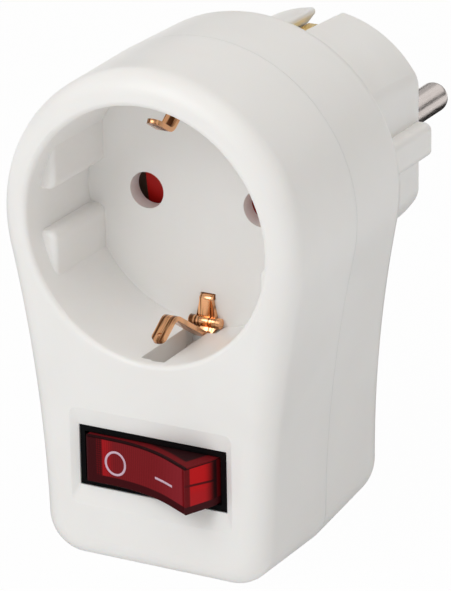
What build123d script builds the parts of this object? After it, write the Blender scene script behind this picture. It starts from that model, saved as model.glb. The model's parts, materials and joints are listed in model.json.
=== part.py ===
from build123d import *
import os
from math import cos, radians, sin, sqrt, tan

# Switched adapter plug, in millimetres.
# The origin is the seat of the plug on a wall socket, midway between its two pins.
# +Y runs along the pins towards the wall, +X is to the right seen from the front, +Z is up.
# Depths are counted from the front face of the housing towards the wall.
# The model stands as in use with the switch off: the rocker's left end is pressed in.

# Housing
housing_depth = 36.0
parting_depth = 19.3
plug_length = 22.0
plug_flange = 1.4
plug_flange_radius = 21.0
plug_fit = 0.03
side_wall = 2.2
front_wall = 2.4
rear_wall = 2.2
front_round = 4.0
rear_round = 3.0
seam_gap = 0.05
lip_height = 1.4
lip_thickness = 0.95
lip_clearance = 0.15

# Outline of the housing at the front face, at the parting line and at the rear face:
# radius of the crown, half width of the foot, drop of the foot below the socket's axis,
# radius of the lower corners and radius of the hollow flanks
front_outline = (24.3, 18.45, 52.9, 6.2, 220.0)
parting_outline = (24.7, 19.2, 52.9, 6.5, 200.0)
rear_outline = (24.4, 20.4, 50.9, 8.5, 200.0)

# Socket recess
recess_radius = 19.5
recess_depth = 18.2
recess_rim_round = 0.8
cup_wall = 1.6
cup_front = 1.2
floor_thickness = 2.6
pin_spacing = 19.0
pin_radius = 2.4
entry_clearance = 0.43
guide_chord = 16.77
guide_front = 3.9
guide_channel = 6.4
guide_round = 1.4
guide_edge_round = 0.8

# Earth clips of the socket
clip_x = 0.5
clip_thickness = 0.7
clip_width = 2.2
clip_tab_width = 3.6
clip_shoulder_width = 5.2
clip_shoulder_round = 0.8
clip_riser = 15.05
clip_shoulder = 18.8
clip_fold = 20.75
clip_fold_lean = 1.1
clip_crest_depth = 6.8
clip_crest = 14.3
clip_tip_depth = 2.6
clip_tip = 16.9
clip_tip_round = 1.0
clip_hole_radius = 0.3
clip_slot_clearance = 0.15
groove_width = 3.6
groove_front = 2.0
groove_reach = 22.6
groove_bed = 23.8
groove_crown_bed = 22.8
groove_bed_width = 8.6
clip_face_gap = 0.05
clip_bends = (1.0, 0.5, 0.6, 0.7, 1.6)
socket_web_depth = 36.85
socket_web_radius = 2.6
relief_front = 1.6
relief_depth = 0.3
relief_reach = 9.2

# Child-protection shutter
shutter_gap = 0.2
shutter_thickness = 2.0
shutter_ramp = 1.1
shutter_post_radius = 2.0
shutter_running_gap = 0.06
shutter_hub_radius = 4.2
shutter_reach = 11.4
shutter_half_height = 3.3
shutter_tab_reach = 8.4
shutter_tab_width = 2.0
shutter_spring_radius = 1.0
shutter_spring_wire = 0.35
shutter_spring_turns = 6
shutter_spring_height = 6.6
shutter_stop_x = 9.4
shutter_stop_thickness = 1.4
shutter_stop_span = (4.4, 8.0)
spring_end_gap = 0.1

# Contact carrier behind the shutter
carrier_gap = 0.15
carrier_plate = 1.6
carrier_radius = 17.3
sleeve_inner_width = 6.6
sleeve_inner_height = 6.0
sleeve_wall = 0.8
sleeve_end_depth = 37.8
carrier_post_offset = 10.5
carrier_post_radius = 2.2
carrier_screw_radius = 1.0
carrier_screw_head_radius = 1.9
carrier_screw_head = 1.2
screw_clearance = 0.03
carrier_screw_slot = 0.5

# Sprung contacts and bars
strip_thickness = 0.6
contact_half_gap = 2.5
contact_pinch = 0.04
contact_height = 5.6
# Where a fork contact's arms reach the waist, leave it and stand wide again, from their front ends
contact_steps = (4.0, 7.0, 10.0)
contact_bend = 2.0
contact_setback = 0.65
contact_base_depth = 38.4
tail_setback = 0.2
tail_width = 4.0
eyelet_setback = 2.3
eyelet_radius = 2.7
lamp_bar_thickness = 0.4
lamp_bar_width = 2.0
live_bar_drop = 6.4
live_bar_depth = 31.0
foot_depth = 19.4
foot_height = 4.0

# Plug body and pins
plug_radius_front = 19.1
plug_radius_seat = 18.45
plug_flat = 16.0
plug_collar = 1.5
plug_flat_round = 4.0
plug_rib = 18.35
plug_rib_height = 5.4
plug_rib_round = 1.2
plug_rib_end = 1.0
plug_edge_round = 0.8
plug_bore_radius = 16.0
plug_side_wall = 1.7
plug_end_wall = 2.5
plug_slot_x = 0.5
plug_slot_width = 7.3
plug_slot_mouth = 1.0
plug_slot_height = 4.2
plug_slot_round = 0.6
plug_slot_level = 15.35
plug_slot_front = 38.7
plug_slot_wall = 1.6
earth_strip_width = 4.4
earth_strip_end = 1.6
earth_strip_bend = 0.8
earth_strip_gap = 0.05
pin_length = 19.6
pin_tip_round = 1.7
pin_neck_radius = 2.6
pin_tail_radius = 1.5
pin_collar_radius = 3.2
pin_collar = 1.0
pin_head_radius = 2.1
pin_head = 0.7
pin_fit = 0.03
rivet_radius = 1.2
rivet_head_radius = 2.2
rivet_head = 0.6

# Housing screws
screw_radius = 1.4
screw_head_radius = 2.55
screw_head = 1.8
screw_length = 22.0
screw_post_radius = 2.5
screw_well_depth = 4.5
screw_well_radius = 2.75
screw_well_wall = 0.9
screw_play = 0.2
screw_cross = (2.6, 0.6)
lower_post = (12.5, -46.0)
middle_post = (15.9, -22.8)

# Switch
switch_x = 0.4
switch_z = -36.0
opening_width = 24.66
opening_height = 9.63
dish_width = 27.0
dish_height = 15.4
dish_depth = 0.7
dish_corner = 1.2
opening_corner = 0.3
switch_fit = 0.15
switch_front = 0.75
switch_depth = 14.6
switch_wall = 0.82
switch_floor = 1.4
flange_thickness = 1.2
flange_width = 27.2
flange_height = 12.0
flange_gap = 0.05
hook_thickness = 1.0
hook_height = 5.0
hook_barb = 0.7

rocker_end_gap = 0.66
rocker_side_gap = 0.145
rocker_corner = 4.6
rocker_tilt = 14.0
rocker_pivot_depth = 2.0
rocker_face_radius = 24.0
rocker_skirt = 2.2
rocker_skirt_flare = 0.8
rocker_shell = 0.9
trunnion_radius = 1.0
trunnion_gap = 0.05
trunnion_reach = 4.5
plunger_tube_half = 2.0
plunger_tube_depth = 4.0
plunger_radius = 1.1
plunger_gap = 0.06
plunger_reach = 7.9
plunger_length = 4.6
plunger_spring_wire = 0.3
plunger_spring_turns = 4
lamp_radius = 1.5
lamp_length = 6.0
lamp_offset = 5.6
lamp_level = 0.4
resistor_radius = 0.9
resistor_length = 5.0
resistor_level = 0.95

lever_depth = 10.0
lever_thickness = 0.7
lever_half_length = 6.6
lever_width = 3.4
lever_tilt = 6.0
lever_pivot_gap = 0.08
button_radius = 1.0
button_height = 0.45
button_offset = 5.6
button_gap = 0.1
terminal_thickness = 0.8
terminal_width = 3.4
terminal_slot_gap = 0.04
side_terminal_offset = 7.5
lamp_bar_setback = 1.5
lamp_terminal_depth = 12.0

# Places that follow from the sizes above
seat_depth = housing_depth + plug_length
plug_front = housing_depth - rear_wall - plug_flange
pin_x = pin_spacing / 2
entry_radius = pin_radius + entry_clearance
floor_back = recess_depth + floor_thickness
cup_radius = recess_radius + cup_wall
shutter_front = floor_back + shutter_gap
shutter_back = shutter_front + shutter_thickness
shutter_post_end = shutter_back + shutter_gap
carrier_front = shutter_back + shutter_gap + carrier_gap
carrier_back = carrier_front + carrier_plate
contact_front_depth = carrier_front + carrier_plate / 2 + contact_setback
tail_front_depth = contact_front_depth + tail_setback
sleeve_outer_width = sleeve_inner_width + 2 * sleeve_wall
sleeve_outer_height = sleeve_inner_height + 2 * sleeve_wall
contact_outer = contact_half_gap + strip_thickness
arm_inner_x = pin_x + contact_half_gap
arm_outer_x = pin_x + contact_outer
plug_web_depth = socket_web_depth + clip_thickness
strip_level = plug_slot_level + earth_strip_gap + clip_thickness / 2
plug_bore_end = seat_depth - plug_end_wall
eyelet_depth = plug_bore_end - eyelet_setback
eyelet_span = (eyelet_depth - strip_thickness / 2, eyelet_depth + strip_thickness / 2)
live_bar_z = (-live_bar_drop - strip_thickness, -live_bar_drop)
switch_half_length = opening_width / 2 - switch_fit
switch_half_height = opening_height / 2 - switch_fit
rocker_half_length = switch_half_length - switch_wall - rocker_skirt_flare - rocker_end_gap
rocker_half_height = switch_half_height - switch_wall - rocker_side_gap
foot_z = (switch_z - foot_height / 2, switch_z + foot_height / 2)


def at(depth):
    """Y coordinate of a depth counted from the front face."""
    return depth - seat_depth


def cross(depth):
    """Plane across the housing: local x is +X, local y is +Z and its normal points to the front."""
    return Plane(origin=(0, at(depth), 0), x_dir=(1, 0, 0), z_dir=(0, -1, 0))


def side(x=0.0):
    """Plane along the housing at a given X: local x is the depth and local y is +Z."""
    return Plane(origin=(x, at(0), 0), x_dir=(0, 1, 0), z_dir=(1, 0, 0))


def level(z=0.0):
    """Level plane at a given Z: local x is +X and local y is the depth."""
    return Plane(origin=(0, at(0), z), x_dir=(1, 0, 0), z_dir=(0, 0, 1))


def block(x_span, depth_span, z_span, mode=Mode.ADD):
    """Box between two X values, two depths and two Z values, in the part being built."""
    middle = (sum(x_span) / 2, at(sum(depth_span) / 2), sum(z_span) / 2)
    with Locations(middle):
        Box(abs(x_span[1] - x_span[0]), abs(depth_span[1] - depth_span[0]),
            abs(z_span[1] - z_span[0]), mode=mode)


def round_bar(x, z, radius, depth_span, mode=Mode.ADD):
    """Cylinder along the depth, in the part being built."""
    with Locations((x, at(sum(depth_span) / 2), z)):
        Cylinder(radius, abs(depth_span[1] - depth_span[0]), rotation=(90, 0, 0), mode=mode)


def bent_strip(plane, points, radii, thickness, width):
    """Strip of sheet metal that follows rounded corners in a plane, in the part being built."""
    with BuildSketch(plane) as strip:
        with BuildLine():
            FilletPolyline(points, radius=radii)
        trace(line_width=thickness)
    extrude(strip.sketch, amount=width / 2, both=True)


def blend(first, second, share):
    """Outline sizes between two outlines."""
    return tuple(a + (b - a) * share for a, b in zip(first, second))


def outline_at(depth):
    """Outline sizes of the housing at a depth."""
    if depth <= parting_depth:
        return blend(front_outline, parting_outline, depth / parting_depth)
    share = (depth - parting_depth) / (housing_depth - parting_depth)
    return blend(parting_outline, rear_outline, share)


def tapered_plate(x, start, end, widths, thickness):
    """Plate of sheet metal between two (depth, z) places at a given X, in the part being built."""
    length = sqrt((end[0] - start[0]) ** 2 + (end[1] - start[1]) ** 2)
    along = ((end[0] - start[0]) / length, (end[1] - start[1]) / length)
    plane = Plane(origin=(x, at(start[0]), start[1]), x_dir=(1, 0, 0), z_dir=(0, -along[1], along[0]))
    with BuildSketch(plane) as plate:
        with BuildLine():
            Polyline((-widths[0] / 2, 0), (widths[0] / 2, 0), (widths[1] / 2, length),
                     (-widths[1] / 2, length), close=True)
        make_face()
    extrude(plate.sketch, amount=thickness / 2, both=True)


def housing_outline(depth, inset=0.0, sizes=None):
    """Outline of the housing at a depth: round crown, hollow flanks, straight foot, rounded corners."""
    crown, half_width, drop, corner, flank = sizes or outline_at(depth)
    crown, half_width, drop, flank = crown - inset, half_width - inset, drop - inset, flank + inset
    flank_x = half_width + flank
    flank_z = -sqrt((crown + flank) ** 2 - flank_x ** 2)
    share = crown / (crown + flank)
    shoulder = (flank_x * share, flank_z * share)
    middle_z = (shoulder[1] - drop) / 2
    middle = (flank_x - sqrt(flank ** 2 - (middle_z - flank_z) ** 2), middle_z)
    foot = (flank_x - sqrt(flank ** 2 - (drop + flank_z) ** 2), -drop)
    with BuildSketch(cross(depth)) as outline:
        with BuildLine():
            ThreePointArc((-shoulder[0], shoulder[1]), (0, crown), shoulder)
            ThreePointArc(shoulder, middle, foot)
            Line(foot, (-foot[0], foot[1]))
            ThreePointArc((-foot[0], foot[1]), (-middle[0], middle[1]), (-shoulder[0], shoulder[1]))
        make_face()
        fillet(outline.vertices().group_by(Axis.Y)[0], radius=max(corner - inset, 0.5))
    return outline.sketch


def housing_body(first_depth, last_depth, inset=0.0, mode=Mode.ADD):
    """Drafted body of the housing between two depths on one side of the parting line."""
    sections = [housing_outline(first_depth, inset), housing_outline(last_depth, inset)]
    loft(sections, ruled=True, mode=mode)


def housing_plate(depth, height, inset, mode=Mode.ADD):
    """Straight slab of the outline at the parting line, from a depth towards the front."""
    extrude(housing_outline(depth, inset, parting_outline), amount=height, mode=mode)


def long_edges(shell, x_span, least_z=0.0):
    """Edges along the depth between two distances from the middle plane and above or below a level."""
    return shell.edges().filter_by(
        lambda edge: x_span[0] < abs(edge.center().X) < x_span[1] and abs(edge.center().Z) > least_z
        and edge.bounding_box().size.Y > plug_length / 2 and edge.center().Y > at(housing_depth))


def screw_places():
    """X and Z of the four housing screws."""
    return [(side_sign * x, z) for x, z in (lower_post, middle_post) for side_sign in (-1, 1)]


def carrier_places():
    """X and Z of the two posts that hold the contact carrier."""
    return [(-carrier_post_offset, carrier_post_offset), (carrier_post_offset, -carrier_post_offset)]


# Front shell: face, socket recess with its floor and guide blocks, switch opening and posts
with BuildPart() as front_shell:
    housing_body(0, parting_depth - seam_gap)
    front_face = front_shell.faces().sort_by(Axis.Y)[0]
    fillet(front_face.edges(), radius=front_round)
    # Lip that centres the rear shell, and the hollow through both
    housing_plate(parting_depth + lip_height, lip_height + seam_gap, side_wall - lip_thickness)
    housing_body(front_wall, parting_depth, side_wall, Mode.SUBTRACT)
    housing_plate(parting_depth + lip_height, lip_height, side_wall, Mode.SUBTRACT)
    # Dished surround and opening of the switch
    with BuildSketch(cross(0)):
        with Locations((switch_x, switch_z)):
            RectangleRounded(dish_width, dish_height, dish_corner)
    with BuildSketch(cross(dish_depth)):
        with Locations((switch_x, switch_z)):
            RectangleRounded(opening_width, opening_height, opening_corner)
    loft(ruled=True, mode=Mode.SUBTRACT)
    block((switch_x - opening_width / 2, switch_x + opening_width / 2), (-1, front_wall + 1),
          (switch_z - opening_height / 2, switch_z + opening_height / 2), Mode.SUBTRACT)
    # Cup of the recess with the beds of the two earth clips
    round_bar(0, 0, cup_radius, (cup_front, floor_back))
    for way, bed in ((-1, groove_bed), (1, groove_crown_bed)):
        block((-groove_bed_width / 2, groove_bed_width / 2), (cup_front, floor_back),
              (way * (recess_radius - cup_wall), way * bed))
    round_bar(0, 0, recess_radius, (-front_round, recess_depth), Mode.SUBTRACT)
    rim = front_shell.edges().filter_by(GeomType.CIRCLE).filter_by(
        lambda edge: abs(edge.radius - recess_radius) < 1e-3 and abs(edge.center().Y - at(0)) < 1e-3)
    fillet(rim, radius=recess_rim_round)
    # Guide blocks, in pairs with a channel between them
    with BuildSketch(cross(recess_depth + floor_thickness / 2)) as guides:
        Circle(recess_radius + cup_wall / 2)
        Rectangle(2 * guide_chord, 3 * recess_radius, mode=Mode.SUBTRACT)
        Rectangle(3 * recess_radius, guide_channel, mode=Mode.SUBTRACT)
        inner_corners = guides.vertices().filter_by(
            lambda v: abs(abs(v.X) - guide_chord) < 1e-3 and abs(abs(v.Y) - guide_channel / 2) < 1e-3)
        fillet(inner_corners, radius=guide_round)
    extrude(amount=recess_depth + floor_thickness / 2 - guide_front)
    guide_edges = front_shell.edges().filter_by(
        lambda edge: abs(edge.bounding_box().min.Y - at(guide_front)) < 1e-3
        and edge.bounding_box().size.Y < 1e-3
        and Vector(edge.center().X, 0, edge.center().Z).length < recess_radius - guide_round / 2)
    fillet(guide_edges, radius=guide_edge_round)
    # Shallow relief in the wall beside each groove
    for way in (-1, 1):
        with BuildSketch(cross(recess_depth)) as relief:
            Circle(recess_radius + relief_depth)
            with Locations((-way * relief_reach / 2, way * recess_radius)):
                Rectangle(relief_reach, recess_radius, mode=Mode.INTERSECT)
        extrude(relief.sketch, amount=recess_depth - relief_front, mode=Mode.SUBTRACT)
    # Grooves under the earth clips and the slots where their risers pass the floor
    riser_slot = clip_thickness / 2 + clip_slot_clearance
    for way in (-1, 1):
        block((-groove_width / 2, groove_width / 2), (groove_front, recess_depth),
              (way * (recess_radius - 2 * cup_wall), way * groove_reach), Mode.SUBTRACT)
        block((clip_x - clip_shoulder_width / 2 - clip_slot_clearance,
               clip_x + clip_shoulder_width / 2 + clip_slot_clearance),
              (recess_depth - 4 * clip_thickness, recess_depth),
              (way * (recess_radius - 2 * cup_wall), way * groove_reach), Mode.SUBTRACT)
        block((clip_x - clip_width / 2 - clip_slot_clearance, clip_x + clip_width / 2 + clip_slot_clearance),
              (recess_depth, floor_back),
              (way * (clip_riser - riser_slot), way * (clip_riser + riser_slot)), Mode.SUBTRACT)
    # Pin entries
    for x in (-pin_x, pin_x):
        round_bar(x, 0, entry_radius, (recess_depth, floor_back), Mode.SUBTRACT)
    # Post of the shutter, stop of its spring and posts of the contact carrier
    round_bar(0, 0, shutter_post_radius, (floor_back - floor_thickness / 2, shutter_post_end))
    block((shutter_stop_x, shutter_stop_x + shutter_stop_thickness),
          (floor_back - floor_thickness / 2, shutter_back), shutter_stop_span)
    for x, z in carrier_places():
        round_bar(x, z, carrier_post_radius, (floor_back - floor_thickness / 2, carrier_front))
        round_bar(x, z, carrier_screw_radius + screw_clearance,
                  (floor_back - floor_thickness / 2, carrier_front), Mode.SUBTRACT)
    # Hooks that hold the flange of the switch
    flange_back = front_wall + flange_gap + flange_thickness
    for way in (-1, 1):
        inner = switch_x + way * (flange_width / 2 + switch_fit)
        outer = inner + way * hook_thickness
        barb = inner - way * hook_barb
        hook_z = (switch_z - hook_height / 2, switch_z + hook_height / 2)
        block((inner, outer), (front_wall / 2, flange_back + 2 * hook_thickness), hook_z)
        block((barb, outer), (flange_back + flange_gap, flange_back + 2 * hook_thickness), hook_z)
    # Screw posts
    for x, z in screw_places():
        round_bar(x, z, screw_post_radius, (front_wall / 2, parting_depth - seam_gap))
        round_bar(x, z, screw_radius + screw_clearance, (front_wall, parting_depth), Mode.SUBTRACT)
front_shell.part.label = "front_shell"

# Rear shell: drafted rear half with the round opening of the plug body
with BuildPart() as rear_shell:
    housing_body(parting_depth, housing_depth)
    rear_face = rear_shell.faces().sort_by(Axis.Y)[-1]
    fillet(rear_face.edges(), radius=rear_round)
    # Hollow of the housing half with the rebate of the lip
    housing_body(parting_depth, housing_depth - rear_wall, side_wall, Mode.SUBTRACT)
    housing_plate(parting_depth + lip_height + lip_clearance, lip_height + lip_clearance,
                  side_wall - lip_thickness - lip_clearance, Mode.SUBTRACT)
    round_bar(0, 0, plug_radius_front + plug_fit, (housing_depth - 2 * rear_wall, housing_depth + rear_wall),
              Mode.SUBTRACT)
    # Screw posts with their wells
    well_end = housing_depth - screw_well_depth
    for x, z in screw_places():
        round_bar(x, z, screw_post_radius, (parting_depth, well_end))
        round_bar(x, z, screw_well_radius + screw_well_wall,
                  (well_end - screw_well_wall, housing_depth - rear_wall / 2))
        round_bar(x, z, screw_radius + screw_play, (parting_depth - 1, housing_depth + 1), Mode.SUBTRACT)
        round_bar(x, z, screw_well_radius, (well_end, housing_depth + 1), Mode.SUBTRACT)
rear_shell.part.label = "rear_shell"

# Plug body: drafted round moulding with flats, guide ribs and earth slots, bonded in by its flange
with BuildPart() as plug_body:
    with BuildSketch(cross(housing_depth - rear_wall)):
        Circle(plug_radius_front)
    with BuildSketch(cross(seat_depth)):
        Circle(plug_radius_seat)
    loft(ruled=True)
    for way in (-1, 1):
        block((way * plug_flat, way * 2 * plug_flat), (housing_depth + plug_collar, seat_depth + 1),
              (-plug_radius_front, plug_radius_front), Mode.SUBTRACT)
    fillet(long_edges(plug_body, (plug_flat - 0.01, plug_flat + 0.01)), radius=plug_flat_round)
    with BuildSketch(cross(seat_depth)):
        for way in (-1, 1):
            with BuildLine():
                Polyline((plug_slot_x + plug_slot_width / 2, way * plug_slot_level),
                         (plug_slot_x + plug_slot_mouth / 2, way * (plug_slot_level + plug_slot_height)),
                         (plug_slot_x - plug_slot_mouth / 2, way * (plug_slot_level + plug_slot_height)),
                         (plug_slot_x - plug_slot_width / 2, way * plug_slot_level), close=True)
            make_face()
    extrude(amount=seat_depth - plug_slot_front, mode=Mode.SUBTRACT)
    fillet(long_edges(plug_body, (0, plug_slot_width / 3), plug_slot_level + 1), radius=plug_slot_round)
    seat_face = plug_body.faces().sort_by(Axis.Y)[-1]
    fillet(seat_face.edges(), radius=plug_edge_round)
    for way in (-1, 1):
        with BuildSketch(cross(seat_depth - plug_rib_end)):
            with Locations((way * (plug_rib + plug_flat - 1) / 2, 0)):
                RectangleRounded(plug_rib - plug_flat + 1, plug_rib_height, plug_rib_round)
        extrude(amount=plug_length - plug_rib_end + rear_wall / 2)
    round_bar(0, 0, plug_flange_radius, (plug_front, housing_depth - rear_wall))
    # Hollow with the passages of the earth strips into their slots, and the holes of the pins
    with BuildSketch(cross(plug_bore_end)):
        Circle(plug_bore_radius)
        for way in (-1, 1):
            with Locations((way * (2 * plug_flat - plug_side_wall), 0)):
                Rectangle(2 * plug_flat, 2 * plug_radius_front, mode=Mode.SUBTRACT)
            with Locations((plug_slot_x, way * (2 * plug_slot_level - plug_slot_wall))):
                Rectangle(plug_slot_width + 2 * plug_slot_wall, 2 * plug_slot_level, mode=Mode.SUBTRACT)
    extrude(amount=plug_bore_end - plug_front + 1, mode=Mode.SUBTRACT)
    strip_passage = earth_strip_width / 2 + clip_slot_clearance
    for way in (-1, 1):
        block((-strip_passage, strip_passage), (plug_front - 1, plug_slot_front),
              (way * (plug_slot_level - 2 * plug_slot_wall),
               way * (strip_level + clip_thickness / 2 + clip_slot_clearance)), Mode.SUBTRACT)
    for x in (-pin_x, pin_x):
        round_bar(x, 0, pin_neck_radius + pin_fit, (plug_bore_end - 1, seat_depth + 1), Mode.SUBTRACT)
plug_body.part.label = "plug_body"

# Housing screws, with a crossed recess in the head
with BuildPart() as housing_screws:
    head_front = housing_depth - screw_well_depth
    for x, z in screw_places():
        round_bar(x, z, screw_radius, (head_front - screw_length, head_front))
        round_bar(x, z, screw_head_radius, (head_front, head_front + screw_head))
        for size in (screw_cross, screw_cross[::-1]):
            block((x - size[0] / 2, x + size[0] / 2), (head_front + screw_head / 2, head_front + screw_head),
                  (z - size[1] / 2, z + size[1] / 2), Mode.SUBTRACT)
housing_screws.part.label = "housing_screws"

# Shutter rotor: hub on its post, two ramped blades behind the pin entries and a tab for the spring
with BuildPart() as shutter_rotor:
    for way in (-1, 1):
        with BuildSketch(side(0)):
            with BuildLine():
                Polyline((shutter_back, -shutter_half_height), (shutter_back, shutter_half_height),
                         (shutter_front + (0.5 + 0.5 * way) * shutter_ramp, shutter_half_height),
                         (shutter_front + (0.5 - 0.5 * way) * shutter_ramp, -shutter_half_height),
                         close=True)
            make_face()
        extrude(amount=way * shutter_reach)
    round_bar(0, 0, shutter_hub_radius, (shutter_front, shutter_back))
    block((-shutter_tab_width / 2, shutter_tab_width / 2), (shutter_front, shutter_back),
          (0, shutter_tab_reach))
    round_bar(0, 0, shutter_post_radius + shutter_running_gap, (shutter_front - 1, shutter_back + 1),
              Mode.SUBTRACT)
shutter_rotor.part.label = "shutter_rotor"

# Shutter spring: compression spring between the tab and the stop
spring_start = shutter_tab_width / 2 + shutter_spring_wire / 2 + spring_end_gap
spring_end = shutter_stop_x - shutter_spring_wire / 2 - spring_end_gap
with BuildPart() as shutter_spring:
    with BuildLine() as spring_line:
        Helix(pitch=(spring_end - spring_start) / shutter_spring_turns, height=spring_end - spring_start,
              radius=shutter_spring_radius - shutter_spring_wire,
              center=(spring_start, at((shutter_front + shutter_back) / 2), shutter_spring_height),
              direction=(1, 0, 0))
    start = spring_line.line @ 0
    with BuildSketch(Plane(origin=start, z_dir=spring_line.line % 0)):
        Circle(shutter_spring_wire / 2)
    sweep()
shutter_spring.part.label = "shutter_spring"

# Contact carrier: plate with two sleeves that hold the sprung contacts
with BuildPart() as contact_carrier:
    round_bar(0, 0, carrier_radius, (carrier_front, carrier_back))
    for x in (-pin_x, pin_x):
        block((x - sleeve_outer_width / 2, x + sleeve_outer_width / 2), (carrier_front, sleeve_end_depth),
              (-sleeve_outer_height / 2, sleeve_outer_height / 2))
    for x in (-pin_x, pin_x):
        round_bar(x, 0, entry_radius, (carrier_front, contact_front_depth), Mode.SUBTRACT)
        block((x - sleeve_inner_width / 2, x + sleeve_inner_width / 2),
              (carrier_front + carrier_plate / 2, sleeve_end_depth),
              (-sleeve_inner_height / 2, sleeve_inner_height / 2), Mode.SUBTRACT)
        way = 1 if x > 0 else -1
        notch_inner = way * (arm_inner_x - clip_slot_clearance)
        notch_outer = way * (arm_outer_x + lamp_bar_thickness + clip_slot_clearance)
        block((notch_inner, notch_outer),
              (carrier_front + carrier_plate / 2, tail_front_depth + tail_width + clip_slot_clearance),
              (-sleeve_outer_height, sleeve_inner_height / 2 - 1), Mode.SUBTRACT)
    for way in (-1, 1):
        block((clip_x - clip_width / 2 - clip_slot_clearance, clip_x + clip_width / 2 + clip_slot_clearance),
              (carrier_front - 1, carrier_back + 1),
              (way * (clip_riser - riser_slot), way * (clip_riser + riser_slot)), Mode.SUBTRACT)
    for x, z in carrier_places():
        round_bar(x, z, carrier_screw_radius + screw_play, (carrier_front - 1, carrier_back + 1),
                  Mode.SUBTRACT)
contact_carrier.part.label = "contact_carrier"

# Carrier screws
with BuildPart() as carrier_screws:
    for x, z in carrier_places():
        round_bar(x, z, carrier_screw_radius, (floor_back, carrier_back))
        round_bar(x, z, carrier_screw_head_radius, (carrier_back, carrier_back + carrier_screw_head))
        block((x - carrier_screw_head_radius, x + carrier_screw_head_radius),
              (carrier_back + carrier_screw_head / 2, carrier_back + carrier_screw_head),
              (z - carrier_screw_slot / 2, z + carrier_screw_slot / 2), Mode.SUBTRACT)
carrier_screws.part.label = "carrier_screws"


def fork_contact(way):
    """Fork contact behind one pin entry, pinched in the middle, in the part being built."""
    x = way * pin_x
    waist = contact_half_gap + strip_thickness / 2 - contact_pinch
    mouth = contact_half_gap + strip_thickness / 2
    for arm in (-1, 1):
        bent_strip(level(0), [(x + arm * mouth, contact_front_depth),
                              (x + arm * waist, contact_front_depth + contact_steps[0]),
                              (x + arm * waist, contact_front_depth + contact_steps[1]),
                              (x + arm * mouth, contact_front_depth + contact_steps[2]),
                              (x + arm * mouth, contact_base_depth + strip_thickness / 2)],
                   contact_bend, strip_thickness, contact_height)
    block((x - contact_outer, x + contact_outer), (contact_base_depth, contact_base_depth + strip_thickness),
          (-contact_height / 2, contact_height / 2))


def side_tail(way, thickness, inner_x, depth_span, top, foot_x):
    """Tail that runs down beside a fork contact and forward to a foot at the switch."""
    outer_x = inner_x + thickness
    width = depth_span[1] - depth_span[0]
    foot_span = (switch_z - width / 2, switch_z + width / 2)
    block((way * inner_x, way * outer_x), depth_span, (foot_span[0], top))
    block((way * inner_x, way * outer_x), (foot_depth, depth_span[1]), foot_span)
    block((way * outer_x, foot_x), (foot_depth, foot_depth + thickness), foot_span)


# Live contact: fork behind the left pin entry, with its tail to the load terminal
with BuildPart() as live_contact:
    fork_contact(-1)
    side_tail(-1, strip_thickness, arm_inner_x, (tail_front_depth, tail_front_depth + tail_width),
              contact_height / 2, switch_x - side_terminal_offset + terminal_thickness)
live_contact.part.label = "live_contact"

# Neutral contact: fork behind the right pin entry, with its tail to the neutral pin
with BuildPart() as neutral_contact:
    fork_contact(1)
    arm_span = (-tail_width / 2, tail_width / 2)
    block((arm_inner_x, arm_outer_x), (contact_base_depth, eyelet_span[1]), arm_span)
    block((pin_x, arm_outer_x), eyelet_span, arm_span)
    round_bar(pin_x, 0, eyelet_radius, eyelet_span)
    round_bar(pin_x, 0, pin_tail_radius + pin_fit, (eyelet_depth - 1, eyelet_depth + 1), Mode.SUBTRACT)
neutral_contact.part.label = "neutral_contact"

# Lamp bar: thin strip from the neutral contact to the lamp terminal
with BuildPart() as lamp_bar:
    bar_front = tail_front_depth + (tail_width - lamp_bar_width) / 2
    side_tail(1, lamp_bar_thickness, arm_outer_x, (bar_front, bar_front + lamp_bar_width),
              sleeve_inner_height / 2 - lamp_bar_setback,
              switch_x + side_terminal_offset - terminal_thickness)
lamp_bar.part.label = "lamp_bar"

# Live bar: from the live pin down behind the recess and forward to the common terminal
with BuildPart() as live_bar:
    bar_x = (-pin_x - tail_width / 2, -pin_x + tail_width / 2)
    foot_x = (switch_x - tail_width / 2, switch_x + tail_width / 2)
    round_bar(-pin_x, 0, eyelet_radius, eyelet_span)
    block(bar_x, eyelet_span, (live_bar_z[0], 0))
    block(bar_x, (live_bar_depth, eyelet_span[1]), live_bar_z)
    block(bar_x, (live_bar_depth, live_bar_depth + strip_thickness), (foot_z[0], live_bar_z[1]))
    block((bar_x[0], foot_x[1]), (live_bar_depth, live_bar_depth + strip_thickness), foot_z)
    block(foot_x, (foot_depth, live_bar_depth + strip_thickness), (foot_z[0], foot_z[0] + strip_thickness))
    block(foot_x, (foot_depth, foot_depth + strip_thickness), foot_z)
    round_bar(-pin_x, 0, pin_tail_radius + pin_fit, (eyelet_depth - 1, eyelet_depth + 1), Mode.SUBTRACT)
live_bar.part.label = "live_bar"


def plug_pin(x):
    """Round pin of the plug with a neck in the end wall, a collar inside it and a riveted tail."""
    round_bar(x, 0, pin_radius, (seat_depth, seat_depth + pin_length))
    round_bar(x, 0, pin_neck_radius, (plug_bore_end, seat_depth))
    round_bar(x, 0, pin_collar_radius, (plug_bore_end - pin_collar, plug_bore_end))
    head_depth = eyelet_span[0] - pin_fit
    round_bar(x, 0, pin_tail_radius, (head_depth, plug_bore_end))
    round_bar(x, 0, pin_head_radius, (head_depth - pin_head, head_depth))


with BuildPart() as live_pin:
    plug_pin(-pin_x)
    fillet(live_pin.edges().sort_by(Axis.Y)[-1], radius=pin_tip_round)
live_pin.part.label = "live_pin"

with BuildPart() as neutral_pin:
    plug_pin(pin_x)
    fillet(neutral_pin.edges().sort_by(Axis.Y)[-1], radius=pin_tip_round)
neutral_pin.part.label = "neutral_pin"

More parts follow.
